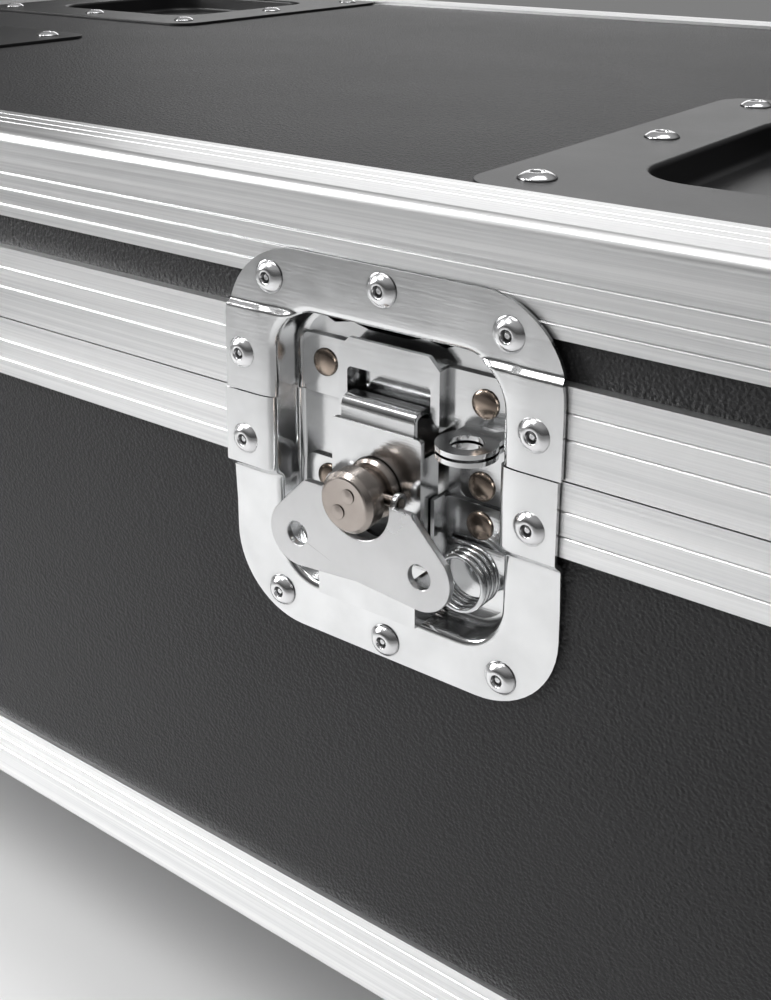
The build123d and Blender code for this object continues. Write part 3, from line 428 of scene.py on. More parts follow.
def finish_material(name, shades, rough, metallic=0.0, bumps=(), painted_groove_shade=None, **fixed):
    """A material whose colour and roughness follow slow patches.

    rough is (lowest, highest, scale of the patches), and the shade painted into grooves is (reach, deepest
    shade).
    """
    paint = bpy.data.materials.new(name)
    paint.use_nodes = True
    tree = paint.node_tree
    shader = tree.nodes["Principled BSDF"]
    shader.inputs["Metallic"].default_value = metallic
    for socket, value in fixed.items():
        shader.inputs[socket.replace("_", " ")].default_value = value
    cloud = place_group(tree, MOTTLE, Scale=rough[2]).outputs["Cloud"]
    colour = ramp_between(tree, cloud, shades, CLOUD_SPAN)
    # Shade painted into the colour in grooves and where parts meet.
    if painted_groove_shade:
        colour = groove_painted_shade(tree, colour, *painted_groove_shade)
    tree.links.new(colour, shader.inputs["Base Color"])
    tree.links.new(value_between(tree, cloud, rough[0], rough[1]), shader.inputs["Roughness"])
    normal = chained_bumps(tree, bumps)
    if normal:
        tree.links.new(normal, shader.inputs["Normal"])
    return paint


print("finish helper ready")

# %% [markdown]
# The panels are birch ply faced with a thin black laminate that carries a fine leather grain. It
# never shines like paint: light breaks up in the creases. A pebble height does that at the real
# scale of about a millimetre, and slow patches in the roughness stand for handling. The pressed
# black steel, the tyres, the grips and the foam use the same grain, finer or coarser.

# %% Laminate and the dark coats
def pebbled(scale, fine, depth):
    return (PEBBLE, "Height", {"Scale": scale, "Fine": fine}, depth)


FINISHES["laminate"] = finish_material(
    "black_laminate", ((0.013, 0.013, 0.014), (0.019, 0.019, 0.020)), (0.40, 0.50, 14),
    bumps=[pebbled(1100, 3000, 0.00040)], Specular_IOR_Level=0.38)
FINISHES["black_steel"] = finish_material(
    "satin_black_coat", ((0.012, 0.012, 0.013), (0.02, 0.02, 0.021)), (0.3, 0.42, 30),
    bumps=[pebbled(2400, 5200, 0.00003)], Specular_IOR_Level=0.5)
FINISHES["castor_rubber"] = finish_material(
    "castor_tread", ((0.02, 0.02, 0.021), (0.04, 0.04, 0.042)), (0.55, 0.75, 40),
    bumps=[pebbled(1500, 4200, 0.00004)])
FINISHES["grip_rubber"] = finish_material(
    "moulded_grip", ((0.014, 0.014, 0.015), (0.024, 0.024, 0.025)), (0.5, 0.66, 60),
    bumps=[pebbled(2600, 5200, 0.00004)])
FINISHES["foam"] = finish_material(
    "lining_foam", ((0.020, 0.020, 0.022), (0.036, 0.036, 0.039)), (0.85, 0.98, 18),
    bumps=[pebbled(620, 1900, 0.0006)], Sheen_Weight=0.25)
print("dark finishes:", sorted(FINISHES))

# %% [markdown]
# Plated sheet, wire and turned parts are bare metal, so the Principled shader is fully metallic
# and its base colour is the tint of the reflection. Bright plate has a low roughness and a very
# shallow unevenness, which bends reflections the way rolled sheet does. Zinc is duller and a
# little blue, and the knob's nickel is warm.

# %% Plated metals
# Shade painted into the grooves of the plated finishes, as (reach, deepest shade).
GROOVE_PAINTED_SHADE = (2.2 * MM, 0.30)
NARROW_GROOVE_PAINTED_SHADE = (1.3 * MM, 0.12)


def uneven(scale, depth):
    return (MOTTLE, "Cloud", {"Scale": scale}, depth)


def brushed(along, across, depth):
    values = {"Scale X": along, "Scale Y": across, "Scale Z": across, "Detail": 3}
    return (GRAIN, "Grain", values, depth)


def plated(name, shades, rough, bumps, painted_groove_shade=GROOVE_PAINTED_SHADE):
    return finish_material(name, shades, rough, metallic=1.0, bumps=bumps, painted_groove_shade=painted_groove_shade)


FINISHES["bright_plate"] = plated(
    "bright_plate", ((0.68, 0.685, 0.69), (0.80, 0.805, 0.81)), (0.07, 0.22, 70),
    [uneven(38, 0.00016), brushed(60, 1500, 0.00002)])
FINISHES["spring_wire"] = plated(
    "spring_wire", ((0.66, 0.67, 0.68), (0.80, 0.81, 0.82)), (0.1, 0.2, 200),
    [uneven(300, 0.00002)])
FINISHES["satin_plate"] = plated(
    "satin_plate", ((0.58, 0.58, 0.585), (0.68, 0.68, 0.685)), (0.24, 0.34, 45),
    [brushed(160, 2600, 0.00002)])
FINISHES["knob_nickel"] = plated(
    "warm_nickel", ((0.36, 0.315, 0.285), (0.50, 0.45, 0.415)), (0.18, 0.30, 90),
    [uneven(260, 0.00003)], NARROW_GROOVE_PAINTED_SHADE)
FINISHES["rivet_silver"] = plated(
    "rivet_silver", ((0.78, 0.78, 0.79), (0.89, 0.89, 0.9)), (0.14, 0.26, 120),
    [uneven(350, 0.00003)], NARROW_GROOVE_PAINTED_SHADE)
FINISHES["rivet_bronzed"] = plated(
    "bronzed_stud", ((0.20, 0.16, 0.13), (0.44, 0.36, 0.30)), (0.12, 0.3, 160),
    [uneven(240, 0.0001)])
FINISHES["zinc_steel"] = plated(
    "zinc_steel", ((0.55, 0.57, 0.6), (0.68, 0.7, 0.73)), (0.26, 0.42, 35),
    [uneven(120, 0.00004)])
FINISHES["zinc_corner"] = plated(
    "pressed_corner", ((0.66, 0.67, 0.69), (0.78, 0.79, 0.8)), (0.16, 0.3, 40),
    [uneven(70, 0.00006)])
print("metals:", len(FINISHES), "finishes so far")

# %% [markdown]
# The profiles are drawn aluminium. Their fine lines follow each length, so the grain has to turn
# with it: along X at the front and back, along Y at the ends, and upright on the corner posts.
# A mask compares how near a point is to the end walls and to the long walls, and picks one of
# two grains. The mitre falls exactly where the mask changes.

# %% Grain that turns at the mitres
CASE_W = 760 * MM
CASE_D = 480 * MM
CASE_HALF_X = (cad_high.x - cad_low.x) / 2
CASE_HALF_Y = CASE_HALF_X - (CASE_W - CASE_D) / 2


def end_wall_mask(tree):
    """1 where a point is nearer to an end wall than to a long wall."""
    coords = tree.nodes.new("ShaderNodeTexCoord")
    split = tree.nodes.new("ShaderNodeSeparateXYZ")
    tree.links.new(coords.outputs["Object"], split.inputs[0])
    sizes = []
    for axis, half in (("X", CASE_HALF_X), ("Y", CASE_HALF_Y)):
        size = tree.nodes.new("ShaderNodeMath")
        size.operation = "ABSOLUTE"
        inset = tree.nodes.new("ShaderNodeMath")
        inset.operation = "SUBTRACT"
        inset.inputs[1].default_value = half
        tree.links.new(split.outputs[axis], size.inputs[0])
        tree.links.new(size.outputs[0], inset.inputs[0])
        sizes.append(inset.outputs[0])
    nearer = tree.nodes.new("ShaderNodeMath")
    nearer.operation = "GREATER_THAN"
    tree.links.new(sizes[0], nearer.inputs[0])
    tree.links.new(sizes[1], nearer.inputs[1])
    return nearer.outputs[0]


def mixed(tree, mask, first, second):
    mix = tree.nodes.new("ShaderNodeMix")
    tree.links.new(mask, mix.inputs["Factor"])
    tree.links.new(first, mix.inputs["A"])
    tree.links.new(second, mix.inputs["B"])
    return mix.outputs["Result"]


def lengthwise_grain(tree, along, across, detail, upright):
    """Grain height that follows each profile's length, or runs upright on the posts."""
    if upright:
        posts = place_group(tree, GRAIN, Scale_X=across, Scale_Y=across, Scale_Z=along, Detail=detail)
        return posts.outputs["Grain"]
    long_wall = place_group(tree, GRAIN, Scale_X=along, Scale_Y=across, Scale_Z=across, Detail=detail)
    end_wall = place_group(tree, GRAIN, Scale_X=across, Scale_Y=along, Scale_Z=across, Detail=detail)
    mask = end_wall_mask(tree)
    return mixed(tree, mask, long_wall.outputs["Grain"], end_wall.outputs["Grain"])


print("mitre from half widths of", round(CASE_HALF_X, 3), "and", round(CASE_HALF_Y, 3), "m")

# %% [markdown]
# Two layers of that grain are averaged, a fine one for the die lines and a broad one for the
# bands of sheen between them. The average drives colour, roughness and bump together, so a line
# is dark, dull and deep at the same place, as a real scratch is.

# %% Drawn aluminium
DRAWN_ALONG = 7.0
DRAWN_ACROSS = 1500.0
DRAWN_LAYERS = ((DRAWN_ALONG, DRAWN_ACROSS, 3), (DRAWN_ALONG / 3, DRAWN_ACROSS / 6, 2))
DRAWN_SHADES = ((0.78, 0.785, 0.79), (0.98, 0.98, 0.98))
DRAWN_SPAN = (0.38, 0.62)
DRAWN_ROUGH = (0.22, 0.5)
DRAWN_DEPTH = 0.00007


def drawn_aluminium(name, upright):
    paint = bpy.data.materials.new(name)
    paint.use_nodes = True
    tree = paint.node_tree
    shader = tree.nodes["Principled BSDF"]
    shader.inputs["Metallic"].default_value = 1.0
    both = tree.nodes.new("ShaderNodeMath")
    both.operation = "ADD"
    for index, (along, across, detail) in enumerate(DRAWN_LAYERS):
        height = lengthwise_grain(tree, along, across, detail, upright)
        tree.links.new(height, both.inputs[index])
    halved = tree.nodes.new("ShaderNodeMath")
    halved.operation = "MULTIPLY"
    halved.inputs[1].default_value = 1 / len(DRAWN_LAYERS)
    tree.links.new(both.outputs[0], halved.inputs[0])
    grain = halved.outputs[0]
    shade = ramp_between(tree, grain, DRAWN_SHADES, DRAWN_SPAN)
    tree.links.new(shade, shader.inputs["Base Color"])
    tree.links.new(value_between(tree, grain, *DRAWN_ROUGH), shader.inputs["Roughness"])
    bump = tree.nodes.new("ShaderNodeBump")
    bump.inputs["Distance"].default_value = DRAWN_DEPTH
    tree.links.new(grain, bump.inputs["Height"])
    tree.links.new(bump.outputs[0], shader.inputs["Normal"])
    return paint


FINISHES["aluminium_extrusion"] = drawn_aluminium("drawn_aluminium", False)
UPRIGHT_ALUMINIUM = drawn_aluminium("drawn_aluminium_upright", True)
print("aluminium with grain along each length")

# %% [markdown]
# Real stamped edges are never knife-sharp, and the thin bright line on them is half of what says
# metal. A weld joins the mesh along its hard edges, a bevel of a few tenths rounds them, and
# normals weighted by face area keep the flat faces flat beside the new round ones.

# %% Rounded edges
BEVEL_STEPS = 2
STAMPED_ANGLE = 32
FLAT_WEIGHT = 80
WELD_REACH = 0.002 * MM


def round_edges(piece, width, sharpest):
    """Bevel every edge that turns by more than sharpest degrees."""
    bevel = piece.modifiers.new("rounded_edges", "BEVEL")
    bevel.width = width
    bevel.segments = BEVEL_STEPS
    bevel.limit_method = "ANGLE"
    bevel.angle_limit = math.radians(sharpest)


def keep_flat_faces_flat(piece):
    flatten = piece.modifiers.new("flat_faces_stay_flat", "WEIGHTED_NORMAL")
    flatten.mode = "FACE_AREA"
    flatten.weight = FLAT_WEIGHT
    flatten.keep_sharp = False


def soften(piece, width):
    weld = piece.modifiers.new("weld", "WELD")
    weld.merge_threshold = WELD_REACH
    round_edges(piece, width, STAMPED_ANGLE)
    keep_flat_faces_flat(piece)


print("edges rounded in", BEVEL_STEPS, "steps")

# %% [markdown]
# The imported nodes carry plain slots. Each one now takes its finish by the slot's name, and only
# the corner posts differ, because their grain stands upright. The stamped sheet parts of the
# latches, hinges and castors then get their rounded edges.

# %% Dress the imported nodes
SLOT_OF = {part["node"]: part["material_slot"] for part in frame["record"]["subparts"]}
STAMPED = {"latch_keepers": 0.3 * MM, "latch_hasps": 0.3 * MM, "latch_bases": 0.3 * MM,
           "latch_hook_left": 0.25 * MM, "latch_hook_right": 0.25 * MM,
           "latch_wing_left": 0.35 * MM, "latch_wing_right": 0.35 * MM,
           "hinge_body_leaves": 0.3 * MM, "hinge_lid_leaves": 0.3 * MM,
           "castor_plates": 0.4 * MM}

for node_name, piece in nodes.items():
    paint = FINISHES[SLOT_OF[node_name]]
    if node_name == "corner_edges":
        paint = UPRIGHT_ALUMINIUM
    piece.data.materials.clear()
    piece.data.materials.append(paint)
for node_name, width in STAMPED.items():
    soften(nodes[node_name], width)
print("dressed", len(nodes), "nodes, bevelled", len(STAMPED))

# %% [markdown]
# Three parts of this case are sheet pressed into a rounded dish: the latch plate, the castor
# cups and the handle plates. One builder makes them all. It draws rounded rectangles with the
# same number of points, one ring inside another, rolls them over a lip, down a wall and round a
# floor corner, and joins ring to ring with quads.

# %% Rings of a pressed dish
CORNER_STEPS = 14
SIDE_STEPS = 8
LIP_STEPS = 6
FLOOR_STEPS = 5
PLAIN_FLANGE_STEPS = 5
FLOOR_MIDDLE = 0.5


def rounded_ring(width, height, radius, depth):
    """Points round a rounded rectangle, counter-clockwise from the front, all at one depth."""
    points = []
    centres = ((1, 1, 0), (-1, 1, 90), (-1, -1, 180), (1, -1, 270))
    for index, (sx, sy, first) in enumerate(centres):
        cx, cy = sx * (width / 2 - radius), sy * (height / 2 - radius)
        for step in range(CORNER_STEPS + 1):
            angle = math.radians(first + 90 * step / CORNER_STEPS)
            points.append(Vector((cx + radius * math.cos(angle), cy + radius * math.sin(angle), depth)))
        nx, ny, turn = centres[(index + 1) % 4]
        angle = math.radians(turn)
        after = Vector((nx * (width / 2 - radius) + radius * math.cos(angle),
                        ny * (height / 2 - radius) + radius * math.sin(angle), depth))
        last = points[-1].copy()
        points.extend(last.lerp(after, step / SIDE_STEPS) for step in range(1, SIDE_STEPS))
    return points


def grown_ring(shape, by, depth):
    """A ring that runs this far outside a (width, height, radius) shape, or inside it."""
    width, height, radius = shape
    return rounded_ring(width + 2 * by, height + 2 * by, radius + by, depth)


def dish_rings(outer, well, lip, floor_round, depth, flange_steps=PLAIN_FLANGE_STEPS):
    """Rings from the flange's edge to the middle of the floor.

    outer and well are (width, height, corner radius).
    """
    rings = []
    inner = (well[0] + 2 * lip, well[1] + 2 * lip, well[2] + lip)
    for step in range(flange_steps + 1):
        share = step / flange_steps
        rings.append(rounded_ring(*(a + (b - a) * share for a, b in zip(outer, inner)), 0.0))
    for step in range(1, LIP_STEPS + 1):
        angle = math.pi / 2 * step / LIP_STEPS
        rings.append(grown_ring(well, lip * (1 - math.sin(angle)), -lip * (1 - math.cos(angle))))
    rings.append(rounded_ring(*well, -(depth - floor_round)))
    for step in range(1, FLOOR_STEPS + 1):
        angle = math.pi / 2 * step / FLOOR_STEPS
        drop = depth - floor_round * (1 - math.sin(angle))
        rings.append(grown_ring(well, -floor_round * (1 - math.cos(angle)), -drop))
    floor = (well[0] - 2 * floor_round, well[1] - 2 * floor_round, well[2] - floor_round)
    rings.append(rounded_ring(*(size * FLOOR_MIDDLE for size in floor), -depth))
    return rings


def bridge_rings(rings):
    """A bmesh with a quad strip between each ring and the next, and a cap on the last."""
    mesh = bmesh.new()
    rows = [[mesh.verts.new(point) for point in ring] for ring in rings]
    for outer_row, inner_row in zip(rows, rows[1:]):
        count = len(outer_row)
        for i in range(count):
            j = (i + 1) % count
            mesh.faces.new((outer_row[i], outer_row[j], inner_row[j], inner_row[i]))
    mesh.faces.new(rows[-1])
    return mesh


print("points round one ring:", len(rounded_ring(1, 1, 0.1, 0)))

# %% [markdown]
# Every new piece then goes the same way: its mesh becomes an object, takes its finish, rides on
# the body that carries it, and hides the imported node that it redraws. Solidify gives a
# pressed surface the thickness of its sheet, behind the face that shows.

# %% Pieces that ride on the bodies
RIM = 0.25 * MM
RIM_ANGLE = 50


def finish_mesh(mesh, name, body, paint_slot, replaced=()):
    """Turn a bmesh into an object that rides on a body with a finish, and hide the CAD nodes it redraws."""
    data = bpy.data.meshes.new(name)
    mesh.to_mesh(data)
    mesh.free()
    for face in data.polygons:
        face.use_smooth = True
    piece = bpy.data.objects.new(name, data)
    scene.collection.objects.link(piece)
    data.materials.append(FINISHES[paint_slot])
    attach(piece, body)
    if replaced:
        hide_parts(*replaced)
    return piece


def thicken(piece, thickness):
    """Give a pressed surface its sheet, behind the visible face, with a rounded rim."""
    solid = piece.modifiers.new("sheet", "SOLIDIFY")
    solid.thickness = thickness
    solid.offset = -1.0
    solid.use_even_offset = True
    round_edges(piece, RIM, RIM_ANGLE)
    keep_flat_faces_flat(piece)


def stand_at(mesh, origin, right, up, out):
    """Map local x, y, z onto right, up and out, from origin."""
    turn = Matrix((right, up, out)).transposed().to_4x4()
    mesh.transform(Matrix.Translation(origin) @ turn)


print("rim of pressed sheet, mm:", round(RIM / MM, 2))

# %% [markdown]
# The latch plate is one pressing cut in two at the parting. Its flange steps forward where it
# crosses the thick closure profile, and back again above and below. The steps are cut into the
# mesh as extra edge lines, then each point moves by a smooth function of its height, fading to
# nothing down the wall, so that the floor stays flat. Below the lower step the press leaves a
# shallow slope at each side, which ends on a curved crease.

# %% Flange of the latch plate
UPPER_STEP = (36.9 * MM, 39.0 * MM, -1.5 * MM)
LOWER_STEP = (-9.0 * MM, -12.5 * MM, -3.0 * MM)
BEND_STEPS = 6
BEND_BORDER = 0.25 * MM
CREASE_FROM = 37 * MM
CREASE_BELOW = 1.5 * MM
CREASE_DROP = 9.5 * MM
CREASE_CURVE = 1.6
CREASE_DEEP = 0.5 * MM
CREASE_FADE = 0.3
CREASE_BAND = 12 * MM
CREASE_LINES = 14


def eased(value, start, stop):
    share = min(max((value - start) / (stop - start), 0.0), 1.0)
    return share * share * (3 - 2 * share)


def flange_level(height):
    """How far the flange stands proud at this height: negative is further back."""
    up = UPPER_STEP[2] * eased(height, UPPER_STEP[0], UPPER_STEP[1])
    down = LOWER_STEP[2] * eased(height, LOWER_STEP[0], LOWER_STEP[1])
    return up + down


def crease_level(side, height):
    """How far the slope below the lower step stands proud at this place."""
    out = min(max((abs(side) - CREASE_FROM) / (PLATE_W / 2 - CREASE_FROM), 0.0), 1.0)
    foot = LOWER_STEP[1] - CREASE_BELOW - CREASE_DROP * out ** CREASE_CURVE
    share = min(max((height - foot) / (LOWER_STEP[1] - foot), 0.0), 1.0)
    return CREASE_DEEP * share * eased(out, 0.0, CREASE_FADE)


def cut_lines(mesh, heights):
    for height in heights:
        geometry = list(mesh.verts) + list(mesh.edges) + list(mesh.faces)
        bmesh.ops.bisect_plane(mesh, geom=geometry, plane_co=(0, height, 0), plane_no=(0, 1, 0))


def cut_flange_lines(mesh):
    """Extra edge lines across both steps and down the slope below the lower one."""
    for start, stop, _ in (UPPER_STEP, LOWER_STEP):
        inside = [start + (stop - start) * step / BEND_STEPS for step in range(BEND_STEPS + 1)]
        low, high = min(start, stop), max(start, stop)
        cut_lines(mesh, inside + [low - BEND_BORDER, high + BEND_BORDER])
    lines = range(1, CREASE_LINES + 1)
    cut_lines(mesh, [LOWER_STEP[1] - CREASE_BAND * line / CREASE_LINES for line in lines])


print("steps of the flange, mm:", round(UPPER_STEP[2] / MM, 1), round(LOWER_STEP[2] / MM, 1))

# %% [markdown]
# The whole plate is drawn first and then cut at the parting, once for the half on the lid and
# once for the half on the body, so that both are cut from the same form. The lid's half sits a
# little to the right, as a latch does that was riveted on by hand.

# %% Latch plates
PLATE_R = 24 * MM
WELL_W = 73 * MM
WELL_TOP = 39 * MM
WELL_BOTTOM = -41 * MM
WELL_R = 13 * MM
WELL_DEEP = 12 * MM
WELL_LIP = 2.2 * MM
FLOOR_ROUND = 2.5 * MM
FLANGE_STEPS = 8
LID_HALF_SHIFT = 0.8 * MM


def latch_plate_mesh(keep_upper):
    outer = (PLATE_W, PLATE_H, PLATE_R)
    well = (WELL_W, WELL_TOP - WELL_BOTTOM, WELL_R)
    rings = dish_rings(outer, well, WELL_LIP, FLOOR_ROUND, WELL_DEEP, FLANGE_STEPS)
    for index, ring in enumerate(rings):
        share = min(index / FLANGE_STEPS, 1.0)
        for point in ring:
            point.y += (WELL_TOP + WELL_BOTTOM) / 2 * share
    mesh = bridge_rings(rings)
    cut_flange_lines(mesh)
    for vert in mesh.verts:
        weight = 1 - min(max(-vert.co.z / WELL_DEEP, 0.0), 1.0)
        vert.co.z += (flange_level(vert.co.y) + crease_level(vert.co.x, vert.co.y)) * weight
    side = 1 if keep_upper else -1
    cut = SPLIT_Z + side * SPLIT_GAP / 2
    geometry = list(mesh.verts) + list(mesh.edges) + list(mesh.faces)
    bmesh.ops.bisect_plane(mesh, geom=geometry, plane_co=(0, cut, 0), plane_no=(0, side, 0),
                           clear_inner=True)
    return mesh


PLATE_HALVES = (("upper", "lid", LID_HALF_SHIFT), ("lower", "case", 0.0))
for latch_name, latch_x in LATCH_PLACES.items():
    for half, body, shift in PLATE_HALVES:
        plate = latch_plate_mesh(half == "upper")
        stand_at(plate, (latch_x + shift, FACE_Y, LATCH_Z), (1, 0, 0), (0, 0, 1), (0, -1, 0))
        piece = finish_mesh(plate, f"latch_plate_{half}_{latch_name}", body, "bright_plate",
                            [f"latch_{half}_dishes"])
        thicken(piece, SHEET)
print("latch plates:", len(LATCH_PLACES) * len(PLATE_HALVES))

# %% [markdown]
# The castor cups in the lid are the same kind of pressing, only square and shallower, and their
# outline comes from each node's box. The wheels of a second case stand in them when two are
# stacked.

# %% Castor cups
CUP_SHEET = 1.5 * MM
CUP_R = 12 * MM
CUP_FLANGE = 33 * MM
CUP_WELL_R = 18 * MM
CUP_DEEP = 10.5 * MM
SMALL_LIP = 1.6 * MM


def cup_piece(node_name):
    low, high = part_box(node_name)
    side = high.x - low.x
    well = side - 2 * CUP_FLANGE
    rings = dish_rings((side, side, CUP_R), (well, well, CUP_WELL_R), SMALL_LIP, FLOOR_ROUND, CUP_DEEP)
    mesh = bridge_rings(rings)
    origin = ((low.x + high.x) / 2, (low.y + high.y) / 2, high.z)
    stand_at(mesh, origin, (1, 0, 0), (0, 1, 0), (0, 0, 1))
    piece = finish_mesh(mesh, "pressed_" + node_name, "lid", "black_steel", [node_name])
    thicken(piece, CUP_SHEET)
    return piece


cup_nodes = [name for name in nodes if name.startswith("castor_cup_")]
for node_name in cup_nodes:
    cup_piece(node_name)
print("castor cups:", len(cup_nodes))

# %% [markdown]
# The handle plates in the end walls face outwards to the left and right, so the same builder
# stands them on edge. Two rounded ears on the plate's floor carry the ends of the bail. They are
# drawn as an outline and its copy, with a strip of quads between the two.

# %% Handle plates and their ears
HANDLE_R = 24 * MM
HANDLE_WELL = (126 * MM, 76 * MM, 17 * MM)
HANDLE_DEEP = 10.8 * MM
BAIL_R = 3.5 * MM
EAR_INSET = 2.5 * MM
EAR_HALF_T = 2 * MM
EAR_FOOT = 8 * MM
EAR_REACH = 4.5 * MM
EAR_TALLER = 1.3
EAR_SWEEP = 120
EAR_STEPS = 8
EAR_ROUND = 0.6 * MM


def handle_plate(side_name, sign):
    node_name = "handle_dish_" + side_name
    low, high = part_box(node_name)
    outer = (high.y - low.y, high.z - low.z, HANDLE_R)
    mesh = bridge_rings(dish_rings(outer, HANDLE_WELL, SMALL_LIP, FLOOR_ROUND, HANDLE_DEEP))
    face_x = high.x if sign > 0 else low.x
    stand_at(mesh, (face_x, 0, (low.z + high.z) / 2), (0, sign, 0), (0, 0, 1), (sign, 0, 0))
    piece = finish_mesh(mesh, "pressed_" + node_name, "case", "black_steel", [node_name])
    thicken(piece, SHEET)
    return piece


def ear_outline(floor_x, pivot_x, pivot_z, sign):
    """A foot on the dish's floor, rounded over the pivot, as (x, z) points."""
    outline = [(floor_x, pivot_z - EAR_FOOT), (floor_x, pivot_z + EAR_FOOT)]
    for step in range(EAR_STEPS + 1):
        angle = math.radians(EAR_SWEEP / 2 - EAR_SWEEP * step / EAR_STEPS)
        outline.append((pivot_x + sign * EAR_REACH * math.cos(angle),
                        pivot_z + EAR_REACH * EAR_TALLER * math.sin(angle)))
    return outline


def ear_mesh(outline, middle_y):
    mesh = bmesh.new()
    rows = []
    for offset in (-EAR_HALF_T, EAR_HALF_T):
        rows.append([mesh.verts.new((x, middle_y + offset, z)) for x, z in outline])
    mesh.faces.new(rows[0])
    mesh.faces.new(rows[1][::-1])
    for i in range(len(outline)):
        j = (i + 1) % len(outline)
        mesh.faces.new((rows[0][j], rows[0][i], rows[1][i], rows[1][j]))
    bmesh.ops.recalc_face_normals(mesh, faces=mesh.faces)
    return mesh


def handle_ears(side_name, sign):
    """Two rounded ears on the plate's floor that carry the bail's ends."""
    low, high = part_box("handle_dish_" + side_name)
    bail_low, bail_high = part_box("handle_bail_" + side_name)
    floor_x = (high.x if sign > 0 else low.x) - sign * HANDLE_DEEP
    outline = ear_outline(floor_x, (bail_low.x + bail_high.x) / 2, bail_high.z - BAIL_R, sign)
    for end, end_name in ((-1, "front"), (1, "rear")):
        mesh = ear_mesh(outline, end * (bail_high.y - EAR_INSET))
        piece = finish_mesh(mesh, f"handle_lug_{side_name}_{end_name}", "case", "black_steel")
        for face in piece.data.polygons:
            face.use_smooth = False
        soften(piece, EAR_ROUND)


HANDLE_SIDES = (("left", -1), ("right", 1))
for side_name, sign in HANDLE_SIDES:
    handle_plate(side_name, sign)
    handle_ears(side_name, sign)
print("handle plates:", len(HANDLE_SIDES))

# %% [markdown]
# Rivets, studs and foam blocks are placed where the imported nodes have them, so no place is typed
# twice. One node holds many separate solids, and each loose island of its mesh is one of them.
# Points that lie together are joined first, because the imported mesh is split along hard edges.

# %% Find the separate solids of a node
SAME_POINT = 0.02 * MM


def islands(node_name):
    """Boxes (low, high) of the separate solids in a node, in a fixed order."""
    data = nodes[node_name].data
    parent = {}

    def root(key):
        while parent[key] != key:
            parent[key] = parent[parent[key]]
            key = parent[key]
        return key

    def key_of(index):
        return tuple(round(c / SAME_POINT) for c in data.vertices[index].co)

    for face in data.polygons:
        keys = [key_of(i) for i in face.vertices]
        for key in keys:
            parent.setdefault(key, key)
        for key in keys[1:]:
            parent[root(key)] = root(keys[0])
    groups = {}
    for index in range(len(data.vertices)):
        key = key_of(index)
        if key in parent:
            groups.setdefault(root(key), []).append(data.vertices[index].co)
    boxes = []
    for points in groups.values():
        low = Vector([min(p[i] for p in points) for i in range(3)])
        high = Vector([max(p[i] for p in points) for i in range(3)])
        boxes.append((low, high))
    return sorted(boxes, key=lambda pair: tuple(round(c, 5) for c in pair[0]))


def rivet_site(low, high):
    """(foot, outward direction, radius, height) of a head, from its box."""
    size = high - low
    axis = min(range(3), key=lambda i: size[i])
    middle = (low + high) / 2
    outward = middle.z > (cad_low.z + cad_high.z) / 2 if axis == 2 else middle[axis] > 0
    direction = Vector((0, 0, 0))
    direction[axis] = 1 if outward else -1
    foot = middle.copy()
    foot[axis] = low[axis] if outward else high[axis]
    return foot, direction, max(size) / 2, size[axis]


print("heads round the lid's half of the latches:", len(islands("latch_rivets_lid")))

# %% [markdown]
# A blind rivet has a low dome, and a hole in its middle where the mandrel broke off and left a
# rough stub. The domes catch a ring of light, so they are turned on a lathe here, with more steps
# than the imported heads. The lathe turns a profile of (radius, height) points round any axis.

# %% Lathe and head profiles
LATHE_STEPS = 40
DOME_STEPS = 8
RIM_RADIUS = 0.985
RIM_HEIGHT = 0.06
DOME_FOOT = 0.16
DOME_FULLNESS = 0.9
MANDREL_HOLE = 0.34
HOLE_ROLL = 1.25
MANDREL_STUB = ((1.08, 0.97), (1.0, 0.86), (0.97, 0.04), (0.62, 0.04), (0.56, 0.62), (0.3, 0.7), (0.0, 0.52))
STUD_RIM_RADIUS = 0.98
STUD_RIM_HEIGHT = 0.1
STUD_FOOT = 0.2


def lathe(mesh, profile, foot, direction):
    """Turn (radius, height) points round a direction and add them to a bmesh."""
    across = direction.orthogonal().normalized()
    along = direction.cross(across)
    angles = [2 * math.pi * step / LATHE_STEPS for step in range(LATHE_STEPS)]
    spokes = [across * math.cos(angle) + along * math.sin(angle) for angle in angles]
    rows = []
    for radius, height in profile:
        centre = foot + direction * height
        places = [centre + spoke * radius for spoke in spokes] if radius else [centre]
        rows.append([mesh.verts.new(place) for place in places])
    for first, second in zip(rows, rows[1:]):
        for step in range(LATHE_STEPS):
            after = (step + 1) % LATHE_STEPS
            if len(second) == 1:
                mesh.faces.new((first[step], first[after], second[0]))
            elif len(first) == 1:
                mesh.faces.new((first[0], second[after], second[step]))
            else:
                mesh.faces.new((first[step], first[after], second[after], second[step]))


def blind_rivet_profile(radius, height):
    """Foot, rim, dome, rolled edge of the mandrel hole, and the broken stub inside it."""
    rim = [(0.0, 0.0), (radius * RIM_RADIUS, 0.0), (radius, height * RIM_HEIGHT)]
    hole = radius * MANDREL_HOLE
    dome = []
    for step in range(DOME_STEPS + 1):
        share = step / DOME_STEPS
        rise = DOME_FOOT + (1 - DOME_FOOT) * math.sin(math.pi / 2 * share) ** DOME_FULLNESS
        dome.append((radius + (hole * HOLE_ROLL - radius) * share, height * rise))
    return rim + dome + [(hole * out, height * up) for out, up in MANDREL_STUB]


def solid_stud_profile(radius, height):
    rim = [(0.0, 0.0), (radius * STUD_RIM_RADIUS, 0.0), (radius, height * STUD_RIM_HEIGHT)]
    dome = []
    for step in range(DOME_STEPS):
        angle = math.pi / 2 * step / DOME_STEPS
        dome.append((radius * math.cos(angle), height * (STUD_FOOT + (1 - STUD_FOOT) * math.sin(angle))))
    return rim + dome + [(0.0, height)]


print("points in a rivet's profile:", len(blind_rivet_profile(1, 1)))

